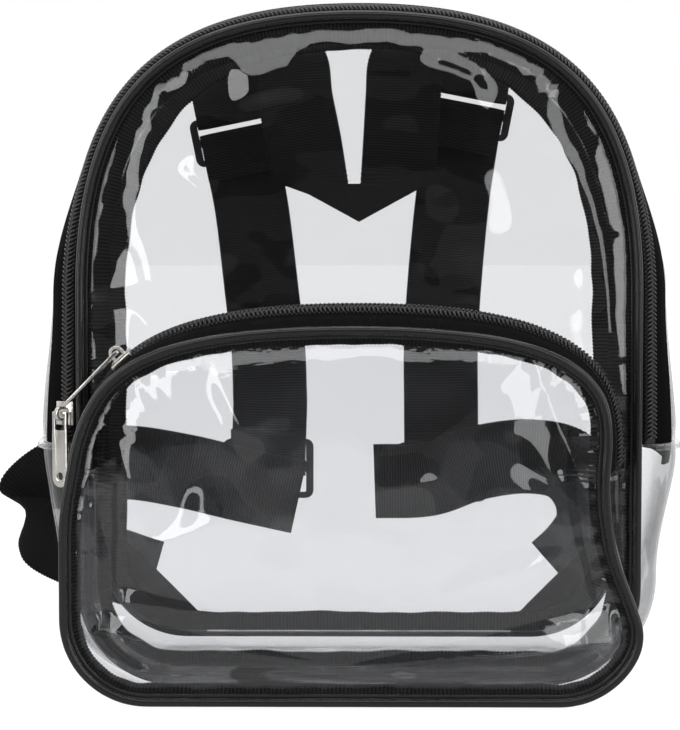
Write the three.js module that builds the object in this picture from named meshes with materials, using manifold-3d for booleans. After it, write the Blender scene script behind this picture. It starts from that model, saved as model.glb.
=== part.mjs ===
// A clear stadium backpack with a front pocket, standing on its bottom panel.
// Millimetres, +Z up. The pocket faces -Y, the shoulder straps hang behind at +Y.
import * as THREE from 'three';
import { mergeVertices } from 'three/addons/utils/BufferGeometryUtils.js';
import Module from 'manifold-3d';

const wasm = await Module();
wasm.setup();

// Sheets and clearances
const film = 1.0; // clear vinyl sheet
const tape = 1.2; // woven zip tape
const ribbonThickness = 1.4; // woven seam binding
const gap = 0.3; // air left between pieces that are sewn together

// Main body: two arched panels and the gusset between them
const bodyDepth = 107;
const frontHalfWidth = 122;
const backHalfWidth = 126;
const frontTop = 298; // height of the front seam at the crown
const backTop = 306;
const seamBottom = 6;
const bodySpring = 175; // height where the straight sides turn into the arch
const bodyCorner = 40; // radius of the bottom corners
const frontFullness = 0.72; // 0.55 is a plain ellipse, 1 a square shoulder
const backFullness = 0.66;
const bodyZipEnd = 110; // height where the zip stops on both sides
const frontDome = 6;
const backDome = 4;
const sideBulge = 22; // how far the gusset stands out from the seams at its fullest
const swellPower = 6; // how squarely the gusset turns back: 2 is round, 10 nearly square

// Main zip, as distances back from the front seam
const facingWidth = 5.5; // black facing between the front piping and the coil
const coilWidth = 6;
const coilThickness = 1.7;
const backTapeWidth = 13;

// Front pocket
const pocketDepth = 38;
const pocketInset = 0; // the pocket's panel is this much narrower than the front panel
const pocketTop = 161;
const pocketBottom = 5;
const pocketSpring = 106;
const pocketCorner = 34;
const pocketFullness = 0.71;
const pocketZipEnd = 100;
const pocketShift = -2.5; // the photographed pocket leans to this side
const pocketDome = 8;
const pocketBulge = 2.5;
const pocketFootInset = 5; // the same where the pocket is sewn to the front panel
const pocketFootTop = 173;
const pocketFootBottom = 11;
const pocketFootSpring = 108;
const pocketFootCorner = 38;
const pocketCoilSetback = 4.2; // back tape between the coil and the front panel

// Trim
const pipingRadius = 2.1;
const bindingInset = 3.3; // from the seam in to the binding's near edge
const bindingWidth = 10.4;
const bindingTurn = 0.44; // how far the binding leans back from the panel, in radians
const pocketBindingWidth = 6.6;
const pocketBindingTurn = 1.0;
const foldProud = 2.6; // clear fold over each zip end
const foldHeight = 2.2;
const endBindingHeight = 10;

// Straps
const webbing = 38;
const webbingThickness = 1.6;
const strapArch = 26; // how far the straps' arch stands behind the back panel
const barWidth = 3;
const buckleThickness = 2.6;
const buckleRail = 4;
const adjusterHeight = 24;
const lockHeight = 30;
const foldBack = 20; // length of webbing turned back round a bar
const yokeHalfWidth = 42;
const yokePoint = 211; // height of the yoke's lower point
const yokeRise = 23; // from the point up to the yoke's lower corners
const yokeBand = 19; // height of the yoke at its middle
const tabDepth = 22; // corner tabs, measured in from the seam

// Zip sliders and pulls
const sliderLength = 10.5;
const sliderPlate = 1.2;
const sliderSide = 1;
const coilRoom = 0.8; // air on each side of the coil inside a slider
const bailWidth = 2;
const bailReach = 3.2;
const bailBar = 1.3;
const pullLength = 33;
const pullWidth = 8.6;
const pullThickness = 1.4;
const pullBar = 1.6;
const pullHole = 3.6;
const hingeRoom = 2; // air under a pull that lies along its zip
const eyeRoom = 1.5; // play on each side of the bail
const mainSliderRise = 14; // how far each slider stands above its zip's end
const pocketSliderRise = 47.5;
const pocketPullDrop = 4; // degrees the pocket pull hangs below its zip, where it meets the gusset

// Where the seams lie
const frontY = -bodyDepth / 2;
const backY = bodyDepth / 2;
const pocketY = frontY - pocketDepth;

// How many steps each stretch of an outline is drawn with
const steps = { bottom: 3, corner: 5, side: 2, arch: 9 };
const measuringSteps = 80;

// How far the gusset stands out, as shares of its bulge, from the middle of the floor up to the crown
const bulgeRows = [
  { place: 'floor', at: 0.0, out: 0.32 },
  { place: 'corner start', at: 0.17, out: 0.34 },
  { place: 'corner end', at: 0.31, out: 0.64 },
  { place: 'zip end', at: 0.44, out: 1.0 },
  { place: 'spring', at: 0.58, out: 0.78 },
  { place: 'shoulder', at: 0.7, out: 0.45 },
  { place: 'crown', at: 1.0, out: 0.38 },
];

// How far up the pocket's gusset has come, as a share, from its own seam back to the front panel
const pocketRiseRows = [
  { place: 'seam', at: 0, up: 0 },
  { place: 'facing', at: 0.62, up: 0.4 },
  { place: 'front panel', at: 1, up: 1 },
];

// Dents in the pocket's edge: height and reach as shares of its height, depth as a share of its half width
const pocketDents = [
  { place: 'right side', side: 1, height: 0.48, reach: 0.36, depth: 0.12 },
  { place: 'right shoulder', side: 1, height: 0.76, reach: 0.32, depth: 0.09 },
  { place: 'left shoulder', side: -1, height: 0.78, reach: 0.34, depth: 0.053 },
];

const lerp = (a, b, t) => a + (b - a) * t;
const clamp01 = (t) => Math.min(1, Math.max(0, t));
const ease = (t) => t * t * (3 - 2 * t);

// A value between the rows of a table, eased from row to row
function fromRows(rows, at, column) {
  const next = rows.findIndex((row) => row.at >= at);
  if (next <= 0) return rows[0][column];
  const [low, high] = [rows[next - 1], rows[next]];
  return lerp(low[column], high[column], ease((at - low.at) / (high.at - low.at)));
}

// Outlines

// One half of an arched outline, from the middle of the bottom up to the crown
function halfOutline({ halfWidth, bottom, top, spring, corner, fullness, zipEnd }) {
  const half = [];
  const add = (x, z, nx, nz, part) => half.push({ x, z, nx, nz, part });
  const flat = halfWidth - corner;
  for (let i = 0; i < steps.bottom; i++) {
    add((flat * i) / steps.bottom, bottom, 0, -1, 'lower');
  }
  for (let i = 0; i <= steps.corner; i++) {
    const turn = (Math.PI / 2) * (i / steps.corner - 1);
    const [nx, nz] = [Math.cos(turn), Math.sin(turn)];
    add(flat + corner * nx, bottom + corner + corner * nz, nx, nz, 'lower');
  }
  for (let i = 1; i <= steps.side; i++) {
    add(halfWidth, lerp(bottom + corner, zipEnd - gap / 2, i / steps.side), 1, 0, 'lower');
  }
  for (let i = 0; i < steps.side; i++) {
    add(halfWidth, lerp(zipEnd + gap / 2, spring, i / steps.side), 1, 0, 'upper');
  }
  const arch = new THREE.CubicBezierCurve(
    new THREE.Vector2(halfWidth, spring),
    new THREE.Vector2(halfWidth, lerp(spring, top, fullness)),
    new THREE.Vector2(halfWidth * fullness, top),
    new THREE.Vector2(0, top),
  );
  for (let i = 0; i <= steps.arch; i++) {
    const point = arch.getPoint(i / steps.arch);
    const along = arch.getTangent(i / steps.arch);
    add(point.x, point.y, along.y, -along.x, 'upper');
  }
  return half;
}

// A whole outline, anticlockwise as seen from the front, starting at the middle of the bottom.
// Each station has its place, its outward direction and its share of the way up to the crown.
function outline(shape) {
  const half = halfOutline(shape);
  const { shift = 0, dents = [], top, bottom, halfWidth } = shape;
  let run = 0;
  half.forEach((station, i) => {
    if (i) run += Math.hypot(station.x - half[i - 1].x, station.z - half[i - 1].z);
    station.run = run;
  });
  const place = (station, side) => {
    const high = (station.z - bottom) / (top - bottom);
    const pressed = (row) => row.depth * ease(clamp01(1 - Math.abs(high - row.height) / row.reach));
    const dent = dents.filter((row) => row.side === side).reduce((sum, row) => sum + pressed(row), 0);
    return {
      x: side * (station.x - dent * halfWidth) + shift,
      z: station.z,
      nx: side * station.nx,
      nz: station.nz,
      share: station.run / run,
      part: station.part,
    };
  };
  const right = half.map((station) => place(station, 1));
  const left = half.slice(1, -1).map((station) => place(station, -1)).reverse();
  return [...right, ...left];
}

const bodyShape = {
  bottom: seamBottom,
  spring: bodySpring,
  corner: bodyCorner,
  zipEnd: bodyZipEnd,
};
const frontShape = { ...bodyShape, halfWidth: frontHalfWidth, top: frontTop, fullness: frontFullness };
const frontSeam = outline(frontShape);
const backSeam = outline({ ...bodyShape, halfWidth: backHalfWidth, top: backTop, fullness: backFullness });
const pocketSeam = outline({
  halfWidth: frontHalfWidth - pocketInset,
  bottom: pocketBottom,
  top: pocketTop,
  spring: pocketSpring,
  corner: pocketCorner,
  fullness: pocketFullness,
  zipEnd: pocketZipEnd,
  shift: pocketShift,
  dents: pocketDents,
});
const pocketFoot = outline({
  halfWidth: frontHalfWidth - pocketFootInset,
  bottom: pocketFootBottom,
  top: pocketFootTop,
  spring: pocketFootSpring,
  corner: pocketFootCorner,
  fullness: pocketFullness,
  zipEnd: pocketZipEnd,
});

// The stations' numbers for the zip's stretch over the top and for the stretch round the bottom
const upperRun = frontSeam.map((_, i) => i).filter((i) => frontSeam[i].part === 'upper');
const lowerCount = frontSeam.length - upperRun.length;
const lowerRun = Array.from({ length: lowerCount }, (_, i) => (upperRun.at(-1) + 1 + i) % frontSeam.length);
// A whole ring leaves out the doubled stations at the zip ends
const wholeRun = frontSeam.map((_, i) => i).filter((i) => i !== upperRun[0] && i !== upperRun.at(-1));

// Solids from sections

// A mesh's points and triangles as a geometry whose faces point out
function solid(points, triangles) {
  const volume = triangles.reduce((sum, [a, b, c]) => {
    return sum + points[a].dot(new THREE.Vector3().crossVectors(points[b], points[c]));
  }, 0);
  const facing = volume < 0 ? triangles.map(([a, b, c]) => [a, c, b]) : triangles;
  const geometry = new THREE.BufferGeometry().setFromPoints(points);
  geometry.setIndex(facing.flat());
  return geometry;
}

// Sections are closed loops with an even number of points. The far half of a loop mirrors the near half,
// so an open run is capped by steps across.
function loft(sections, closed) {
  const size = sections[0].length;
  const points = sections.flat();
  const triangles = [];
  const quad = (a, b, c, d) => triangles.push([a, b, c], [a, c, d]);
  const runs = closed ? sections.length : sections.length - 1;
  for (let i = 0; i < runs; i++) {
    const [near, far] = [i * size, ((i + 1) % sections.length) * size];
    for (let k = 0; k < size; k++) {
      const next = (k + 1) % size;
      quad(near + k, near + next, far + next, far + k);
    }
  }
  if (!closed) {
    const last = (sections.length - 1) * size;
    for (let k = 0; k < size / 2 - 1; k++) {
      quad(size - 1 - k, size - 2 - k, k + 1, k);
      quad(last + k, last + k + 1, last + size - 2 - k, last + size - 1 - k);
    }
  }
  return solid(points, triangles);
}

// A sheet as thick as asked, drawn through a function of station number and place across.
// Its thickness is laid off level, square to Y, so that it ends where its surface does.
function sheet(surface, run, across, thickness, outset = 0, level = true) {
  const sections = run.map((i) => {
    const skin = across.map((v) => {
      const normal = surfaceNormal(surface, i, v);
      const out = level ? normal.setY(0).divideScalar(normal.lengthSq()) : normal;
      return { point: surface(i, v), out };
    });
    const outer = skin.map(({ point, out }) => point.clone().addScaledVector(out, outset));
    const inner = skin.map(({ point, out }) => point.clone().addScaledVector(out, outset - thickness));
    return [...outer, ...inner.reverse()];
  });
  return loft(sections, false);
}

// The outward direction of a gusset at a station, from its neighbours
function surfaceNormal(surface, i, v) {
  const count = frontSeam.length;
  const nudge = 0.01;
  const along = surface((i + 1) % count, v).sub(surface((i + count - 1) % count, v));
  const back = surface(i, Math.min(1, v + nudge)).sub(surface(i, Math.max(0, v - nudge)));
  return back.cross(along).normalize();
}

// The line from seam to seam: the body's gusset leaves each seam steeply, the pocket's is evenly round
const swell = (v) => 1 - Math.abs(1 - 2 * v) ** swellPower;
const roundSwell = (v) => 1 - (1 - 2 * v) ** 2;

// The body's gusset. Nothing sinks below the floor at height 0.
function bodySkin(i, v) {
  const [near, far] = [frontSeam[i], backSeam[i]];
  const out = sideBulge * fromRows(bulgeRows, near.share, 'out') * swell(v);
  return new THREE.Vector3(
    lerp(near.x, far.x, v) + near.nx * out,
    lerp(frontY, backY, v),
    Math.max(0, lerp(near.z, far.z, v) + near.nz * out),
  );
}

// Panels

// A dome over an outline: 1 in the middle, 0 at the edge
const domeCentre = (seam) => {
  const heights = seam.map((station) => station.z);
  return { x: seam[0].x, z: (Math.min(...heights) + Math.max(...heights)) / 2 };
};
const domeShare = (reach) => 1 - reach ** 3;

// How far a point lies from the centre, as a share of the way to the outline
function reachIn(seam, x, z) {
  const centre = domeCentre(seam);
  const [px, pz] = [x - centre.x, z - centre.z];
  let reach = 0;
  seam.forEach((a, i) => {
    const b = seam[(i + 1) % seam.length];
    const [ax, az, ex, ez] = [a.x - centre.x, a.z - centre.z, b.x - a.x, b.z - a.z];
    const cross = ax * ez - az * ex;
    if (cross !== 0) reach = Math.max(reach, (px * ez - pz * ex) / cross);
  });
  return Math.min(1, reach);
}

// A domed sheet over an outline. side is -1 for a face that looks to -Y and 1 for one that looks to +Y.
function panel(seam, seamY, dome, side, rings) {
  const centre = domeCentre(seam);
  const edge = wholeRun.map((i) => seam[i]);
  const points = [];
  const triangles = [];
  const skins = [0, film].map((depth) => {
    const rows = [];
    for (let ring = 1; ring <= rings; ring++) {
      const reach = ring / rings;
      const y = seamY + side * (dome * domeShare(reach) + depth);
      rows.push(edge.map(({ x, z }) => {
        points.push(new THREE.Vector3(lerp(centre.x, x, reach), y, lerp(centre.z, z, reach)));
        return points.length - 1;
      }));
    }
    points.push(new THREE.Vector3(centre.x, seamY + side * (dome + depth), centre.z));
    return { rows, middle: points.length - 1 };
  });
  const [base, face] = skins;
  const wrap = (k) => (k + 1) % edge.length;
  edge.forEach((_, k) => {
    triangles.push([base.middle, base.rows[0][k], base.rows[0][wrap(k)]]);
    triangles.push([face.middle, face.rows[0][wrap(k)], face.rows[0][k]]);
    for (let ring = 0; ring < rings - 1; ring++) {
      const [a, b] = [base.rows[ring], base.rows[ring + 1]];
      const [c, d] = [face.rows[ring], face.rows[ring + 1]];
      triangles.push([a[k], b[k], b[wrap(k)]], [a[k], b[wrap(k)], a[wrap(k)]]);
      triangles.push([c[k], d[wrap(k)], d[k]], [c[k], c[wrap(k)], d[wrap(k)]]);
    }
    const [rimIn, rimOut] = [base.rows[rings - 1], face.rows[rings - 1]];
    triangles.push([rimIn[k], rimOut[k], rimOut[wrap(k)]], [rimIn[k], rimOut[wrap(k)], rimIn[wrap(k)]]);
  });
  return solid(points, triangles);
}

// The outer face of the front and back panels at any place
const frontFace = (x, z) => frontY - film - frontDome * domeShare(reachIn(frontSeam, x, z));
const backFace = (x, z) => backY + film + backDome * domeShare(reachIn(backSeam, x, z));

// The pocket's gusset, from its own seam back to where it is sewn on the front panel
function pocketSkin(i, v) {
  const [near, far] = [pocketSeam[i], pocketFoot[i]];
  const out = pocketBulge * roundSwell(v);
  const up = fromRows(pocketRiseRows, v, 'up');
  return new THREE.Vector3(
    lerp(near.x, far.x, up) + near.nx * out,
    lerp(pocketY, frontFace(far.x, far.z) - gap, v),
    Math.max(0, lerp(near.z, far.z, up) + near.nz * out),
  );
}

// Trim that follows a seam

// A point beside a seam: out from the outline and back along Y
const beside = (station, y, out, back) =>
  new THREE.Vector3(station.x + station.nx * out, y + back, station.z + station.nz * out);

// Piping stands just outside the seam, on the side that the panel faces
function piping(seam, seamY, side) {
  const sides = 6;
  const sections = wholeRun.map((i) =>
    Array.from({ length: sides }, (_, k) => {
      const turn = (2 * Math.PI * (k + 0.5)) / sides;
      const out = pipingRadius * (0.76 + Math.cos(turn));
      const back = side * (film + 0.9 * pipingRadius + pipingRadius * Math.sin(turn));
      return beside(seam[i], seamY, out, back);
    }),
  );
  return loft(sections, true);
}

// Woven binding over the seam's raw edge, inside the bag. side points from the panel into the bag.
function binding(seam, seamY, side, width = bindingWidth, turn = bindingTurn) {
  const [lean, rise] = [Math.cos(turn), Math.sin(turn)];
  const start = { out: -bindingInset, back: gap };
  const corner = (along, through) => ({
    out: start.out - along * lean + through * rise,
    back: side * (start.back + along * rise + through * lean),
  });
  const corners = [
    corner(0, 0),
    corner(width, 0),
    corner(width, ribbonThickness),
    corner(0, ribbonThickness),
  ];
  const sections = wholeRun.map((i) => corners.map(({ out, back }) => beside(seam[i], seamY, out, back)));
  return loft(sections, true);
}

// Places across a gusset, as shares of its depth
const bodyShare = (distance) => distance / bodyDepth;
const pocketShare = (distance) => distance / pocketDepth;
const spread = (from, to, count) => Array.from({ length: count + 1 }, (_, k) => lerp(from, to, k / count));

// Lengths across a gusset, measured on its surface from its front seam at every station
function measured(surface) {
  const tables = frontSeam.map((_, station) => {
    let [length, last] = [0, surface(station, 0)];
    return spread(0, 1, measuringSteps).map((share) => {
      const point = surface(station, share);
      length += point.distanceTo(last);
      last = point;
      return { share, length };
    });
  });
  const total = (station) => tables[station].at(-1).length;
  const shareAt = (station, length) => {
    const table = tables[station];
    const next = Math.max(1, table.findIndex((row) => row.length >= Math.min(length, total(station))));
    const [low, high] = [table[next - 1], table[next]];
    return lerp(low.share, high.share, (length - low.length) / (high.length - low.length));
  };
  return { total, shareAt };
}

const coilStart = facingWidth + gap;
const coilEnd = coilStart + coilWidth;
const tapeEnd = coilEnd + gap + backTapeWidth;
const zipShare = (distance) => distance / tapeEnd;
const bodyZip = {
  facing: [zipShare(gap), zipShare(facingWidth)],
  coil: [zipShare(coilStart), zipShare(coilEnd)],
  tape: [zipShare(coilEnd + 2 * gap), 1],
};

// The parts of the body's gusset that the main zip and the clear sheet behind it lie on
const bodyMeasure = measured(bodySkin);
const mainZipSkin = (i, share) => bodySkin(i, bodyMeasure.shareAt(i, share * tapeEnd));
const behindZipSkin = (i, share) => {
  const start = bodyMeasure.shareAt(i, tapeEnd + gap);
  return bodySkin(i, lerp(start, bodyShare(bodyDepth - gap), share));
};
const pocketMeasure = measured(pocketSkin);
const pocketZipSkin = (i, share) => {
  return pocketSkin(i, pocketMeasure.shareAt(i, share * pocketMeasure.total(i)));
};
const pocketCoilEnd = pocketDepth - pocketCoilSetback;
const pocketZip = {
  facing: [pocketShare(gap), pocketShare(pocketCoilEnd - coilWidth - gap)],
  coil: [pocketShare(pocketCoilEnd - coilWidth), pocketShare(pocketCoilEnd)],
  tape: [pocketShare(pocketCoilEnd + gap), 1],
};

// The coil stands a little proud of the tapes on each side of it
const coilProud = 1.4;
const coil = (surface, zip) => {
  const across = spread(...zip.coil, 2);
  return sheet(surface, upperRun, across, coilThickness, coilProud, false);
};

// A clear fold, or a band of binding, across the gusset where the zip ends
function acrossGusset(surface, right, { across, low, high, out, thickness }) {
  const end = right ? lowerRun.at(-1) : lowerRun[0];
  const next = right ? lowerRun.at(-2) : lowerRun[1];
  const sections = across.map((v) => {
    const top = surface(end, v);
    const down = surface(next, v).sub(top).normalize();
    const normal = surfaceNormal(surface, end, v);
    const at = (along, lift) => top.clone().addScaledVector(down, along).addScaledVector(normal, lift);
    return [at(low, out), at(high, out), at(high, out - thickness), at(low, out - thickness)];
  });
  return loft(sections, false);
}
const zipFold = (surface, right, across) => acrossGusset(surface, right, {
  across,
  low: gap,
  high: gap + foldHeight,
  out: foldProud + gap,
  thickness: foldProud,
});
const zipEndBinding = (surface, right, across) => acrossGusset(surface, right, {
  across,
  low: gap,
  high: endBindingHeight,
  out: -film - gap,
  thickness: ribbonThickness,
});

// Straps

// A row of a strap's route. across and up are shares of the back panel's half width and the front's height,
// behind is a share of the arch's reach behind the panel, and lean is the webbing's slope in degrees.
const place = ({ across, up, behind, lean }) => {
  const [x, z] = [across * backHalfWidth, up * frontTop];
  const turn = THREE.MathUtils.degToRad(lean);
  return {
    point: new THREE.Vector3(x, backFace(x, z) + behind * strapArch, z),
    across: new THREE.Vector3(Math.cos(turn), 0, Math.sin(turn)),
  };
};

// More stations along a smooth line through the route's rows
function smoothRoute(rows, pieces) {
  const places = rows.map(place);
  const line = new THREE.CatmullRomCurve3(places.map(({ point }) => point), false, 'centripetal');
  const widths = new THREE.CatmullRomCurve3(places.map(({ across }) => across), false, 'centripetal');
  const count = (rows.length - 1) * pieces;
  return Array.from({ length: count + 1 }, (_, i) => ({
    point: line.getPoint(i / count),
    across: widths.getPoint(i / count),
  }));
}

// Flat webbing through its stations. cut slants the first end, as a share of the width.
function webbingThrough(stations, cut = 0) {
  const sections = stations.map(({ point, across }, i) => {
    const before = stations[Math.max(0, i - 1)].point;
    const after = stations[Math.min(stations.length - 1, i + 1)].point;
    const along = after.clone().sub(before).normalize();
    const wide = across.clone().addScaledVector(along, -across.dot(along)).normalize();
    const thick = along.clone().cross(wide).normalize();
    const slant = i === 0 ? cut * webbing : 0;
    const at = (w, t) =>
      point.clone()
        .addScaledVector(wide, w * webbing / 2)
        .addScaledVector(along, w * slant / 2)
        .addScaledVector(thick, t * webbingThickness / 2);
    return [at(-1, -1), at(1, -1), at(1, 1), at(-1, 1)];
  });
  return loft(sections, false);
}

// A buckle's own frame: where it is, down along the strap, across it, and out from the wearer
function buckleFrame(row, down) {
  const { point, across } = place(row);
  const along = new THREE.Vector3(...down).normalize();
  const wide = across.clone().addScaledVector(along, -across.dot(along)).normalize();
  const out = wide.clone().cross(along).normalize();
  if (out.y < 0) out.negate();
  return { point, along, wide, out };
}

// Stations that turn round a bar, from the outer side to the inner side of the buckle.
// bar is its distance down from the buckle's middle.
// turn is 1 if the webbing comes from above, -1 from below.
function roundBar(frame, bar, turn) {
  const lift = buckleThickness / 2 + gap + webbingThickness / 2;
  const at = (down, out) => ({
    point: frame.point.clone().addScaledVector(frame.along, down).addScaledVector(frame.out, out),
    across: frame.wide,
  });
  const edge = barWidth / 2 + gap;
  const bend = [
    [-edge, 1], [edge, 1],
    [edge + 1.3, 0.6], [edge + 1.6, 0], [edge + 1.3, -0.6],
    [edge, -1], [-foldBack, -1],
  ];
  return bend.map(([down, out]) => at(bar + turn * down, out * lift));
}

// A flat buckle with one slot between each pair of bars
function buckle(height, bars) {
  const slots = bars - 1;
  const width = webbing + 2 * buckleRail;
  const shape = roundedRectangle(width, height, buckleRail);
  const slotHeight = (height - bars * barWidth) / slots;
  for (let k = 0; k < slots; k++) {
    const middle = height / 2 - barWidth - slotHeight / 2 - k * (slotHeight + barWidth);
    shape.holes.push(roundedRectangle(webbing + 2 * gap, slotHeight, 0.8, middle));
  }
  const options = { depth: buckleThickness, bevelEnabled: false, curveSegments: 3 };
  const plate = new THREE.ExtrudeGeometry(shape, options);
  return plate.translate(0, 0, -buckleThickness / 2);
}

function roundedRectangle(width, height, radius, middle = 0) {
  const shape = new THREE.Shape();
  const [w, h] = [width / 2, height / 2];
  shape.absarc(w - radius, middle + h - radius, radius, 0, Math.PI / 2);
  shape.absarc(-w + radius, middle + h - radius, radius, Math.PI / 2, Math.PI);
  shape.absarc(-w + radius, middle - h + radius, radius, Math.PI, 1.5 * Math.PI);
  shape.absarc(w - radius, middle - h + radius, radius, 1.5 * Math.PI, 2 * Math.PI);
  shape.closePath();
  return shape;
}

// Routes of the straps as they hang in the photograph, shares as described at place
const straps = {
  left: {
    yoke: [
      { across: -0.185, up: 0.752, behind: 0.115, lean: -7 },
      { across: -0.218, up: 0.84, behind: 0.15, lean: -7 },
      { across: -0.255, up: 0.92, behind: 0.3, lean: -8 },
      { across: -0.271, up: 0.975, behind: 0.52, lean: -8 },
      { across: -0.315, up: 1.0, behind: 0.78, lean: 0 },
      { across: -0.43, up: 0.992, behind: 1.0, lean: 8 },
      { across: -0.5, up: 0.955, behind: 1.06, lean: 11 },
      { across: -0.505, up: 0.915, behind: 1.0, lean: 12 },
    ],
    adjuster: { across: -0.49, up: 0.855, behind: 0.86, lean: 12 },
    adjusterDown: [0.2, -0.02, -0.98],
    shoulder: [
      { across: -0.463, up: 0.795, behind: 0.97, lean: 11 },
      { across: -0.435, up: 0.735, behind: 0.87, lean: 9 },
      { across: -0.39, up: 0.584, behind: 0.62, lean: 5 },
      { across: -0.365, up: 0.493, behind: 0.53, lean: 3 },
      { across: -0.357, up: 0.402, behind: 0.47, lean: 1 },
    ],
    lock: { across: -0.365, up: 0.29, behind: 0.39, lean: 0 },
    lockDown: [0.0, -0.03, -1],
    lower: [
      { across: -0.24, up: 0.243, behind: 0.18, lean: 71 },
      { across: -0.476, up: 0.265, behind: 0.17, lean: 76 },
      { across: -0.714, up: 0.288, behind: 0.24, lean: 80 },
      { across: -0.937, up: 0.3, behind: 0.46, lean: 88 },
      { across: -1.12, up: 0.29, behind: 0.72, lean: 94 },
      { across: -1.27, up: 0.26, behind: 0.82, lean: 98 },
      { across: -1.345, up: 0.222, behind: 0.64, lean: 100 },
      { across: -1.29, up: 0.185, behind: 0.4, lean: 102 },
      { across: -1.13, up: 0.151, behind: 0.27, lean: 104 },
      { across: -0.93, up: 0.122, behind: 0.22, lean: 111 },
      { across: -0.82, up: 0.108, behind: 0.15, lean: 116 },
    ],
  },
  right: {
    yoke: [
      { across: 0.152, up: 0.752, behind: 0.115, lean: 5 },
      { across: 0.165, up: 0.84, behind: 0.15, lean: 5 },
      { across: 0.176, up: 0.92, behind: 0.3, lean: 6 },
      { across: 0.186, up: 0.975, behind: 0.52, lean: 6 },
      { across: 0.23, up: 1.003, behind: 0.78, lean: 0 },
      { across: 0.35, up: 1.0, behind: 1.0, lean: -7 },
      { across: 0.415, up: 0.992, behind: 1.06, lean: -10 },
      { across: 0.442, up: 0.965, behind: 1.03, lean: -11 },
    ],
    adjuster: { across: 0.433, up: 0.898, behind: 0.86, lean: -11 },
    adjusterDown: [-0.19, -0.02, -0.98],
    shoulder: [
      { across: 0.41, up: 0.838, behind: 0.97, lean: -10 },
      { across: 0.38, up: 0.755, behind: 0.86, lean: -8 },
      { across: 0.341, up: 0.584, behind: 0.62, lean: -4 },
      { across: 0.33, up: 0.493, behind: 0.53, lean: -2 },
      { across: 0.331, up: 0.395, behind: 0.47, lean: 0 },
    ],
    lock: { across: 0.333, up: 0.284, behind: 0.39, lean: 0 },
    lockDown: [0.0, -0.03, -1],
    lower: [
      { across: 0.063, up: 0.27, behind: 0.18, lean: 92 },
      { across: 0.28, up: 0.274, behind: 0.17, lean: 98 },
      { across: 0.46, up: 0.3, behind: 0.18, lean: 104 },
      { across: 0.68, up: 0.312, behind: 0.26, lean: 94 },
      { across: 0.84, up: 0.297, behind: 0.42, lean: 70 },
      { across: 0.93, up: 0.25, behind: 0.48, lean: 40 },
      { across: 0.94, up: 0.195, behind: 0.38, lean: 5 },
      { across: 0.87, up: 0.15, behind: 0.25, lean: -30 },
      { across: 0.79, up: 0.12, behind: 0.127, lean: -40 },
    ],
  },
};

// The middle line of the bars above and below a buckle's middle
const barLine = (height) => (height - barWidth) / 2;

function strapPieces(side, route) {
  const adjuster = buckleFrame(route.adjuster, route.adjusterDown);
  const lock = buckleFrame(route.lock, route.lockDown);
  const upperBend = roundBar(adjuster, -barLine(adjusterHeight), 1);
  const centreBend = roundBar(adjuster, 0, -1).reverse();
  const lockBend = roundBar(lock, -barLine(lockHeight), 1);
  const cut = (side === 'left' ? -1 : 1) * (yokeRise / yokeHalfWidth);
  const fromYoke = webbingThrough([...smoothRoute(route.yoke, 3), ...upperBend], cut);
  const shoulder = webbingThrough([...centreBend, ...smoothRoute(route.shoulder, 2), ...lockBend]);
  return [
    piece(`yoke_strap_${side}`, fromYoke, webbingCloth),
    piece(`shoulder_strap_${side}`, shoulder, webbingCloth),
    piece(`lower_strap_${side}`, webbingThrough(smoothRoute(route.lower, 3)), webbingCloth),
    placed(piece(`adjuster_${side}`, buckle(adjusterHeight, 3), blackPlastic), adjuster),
    placed(piece(`ladder_lock_${side}`, buckle(lockHeight, 3), blackPlastic), lock),
    piece(`corner_tab_${side}`, cornerTab(side === 'left' ? -1 : 1), webbingCloth),
  ];
}

// Patches sewn on the back panel

// A flat patch on the back panel: loops of x and z, near and far edge in step with each other
function backPatch(edges, lift) {
  const sections = edges.map(([low, high]) => {
    const at = ([x, z], out) => new THREE.Vector3(x, backFace(x, z) + out, z);
    const top = lift + webbingThickness;
    return [at(low, lift), at(high, lift), at(high, top), at(low, top)];
  });
  return loft(sections, false);
}

// The yoke is a chevron that points down
function yoke() {
  const slope = yokeRise / yokeHalfWidth;
  const shares = [-1, -0.6, -0.24, 0, 0.24, 0.6, 1];
  const edges = shares.map((share) => {
    const x = share * yokeHalfWidth;
    const low = yokePoint + Math.abs(x) * slope;
    const shoulder = yokePoint + yokeBand + Math.max(0, Math.abs(share) - 0.24) * yokeBand * 0.6;
    return [[x, low], [x, Math.max(low + yokeBand * 0.2, shoulder)]];
  });
  return backPatch(edges, gap);
}

// A tab across a bottom corner of the back panel holds the lower strap
function cornerTab(side) {
  const [cx, cz] = [backHalfWidth - bodyCorner, seamBottom + bodyCorner];
  const inset = 2;
  const outer = bodyCorner - inset;
  const chord = bodyCorner - tabDepth;
  const widest = Math.acos(chord / outer);
  const edges = [-0.96, -0.5, 0, 0.5, 0.96].map((share) => {
    const turn = -Math.PI / 4 + share * widest;
    const near = chord / Math.cos(share * widest);
    const at = (reach) => [side * (cx + reach * Math.cos(turn)), cz + reach * Math.sin(turn)];
    return [at(near), at(outer)];
  });
  return backPatch(edges, gap);
}

// Zip sliders

// Puts geometries together as one solid
function joined(geometries) {
  const parts = geometries.map((geometry) => {
    const bare = geometry.clone();
    bare.deleteAttribute('normal');
    bare.deleteAttribute('uv');
    const merged = mergeVertices(bare, 1e-4);
    return new wasm.Manifold(new wasm.Mesh({
      numProp: 3,
      vertProperties: merged.attributes.position.array,
      triVerts: new Uint32Array(merged.index.array),
    }));
  });
  const mesh = parts.reduce((sum, part) => sum.add(part)).getMesh();
  const geometry = new THREE.BufferGeometry();
  geometry.setAttribute('position', new THREE.BufferAttribute(mesh.vertProperties, 3));
  return geometry.setIndex(new THREE.BufferAttribute(mesh.triVerts, 1));
}

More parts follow.
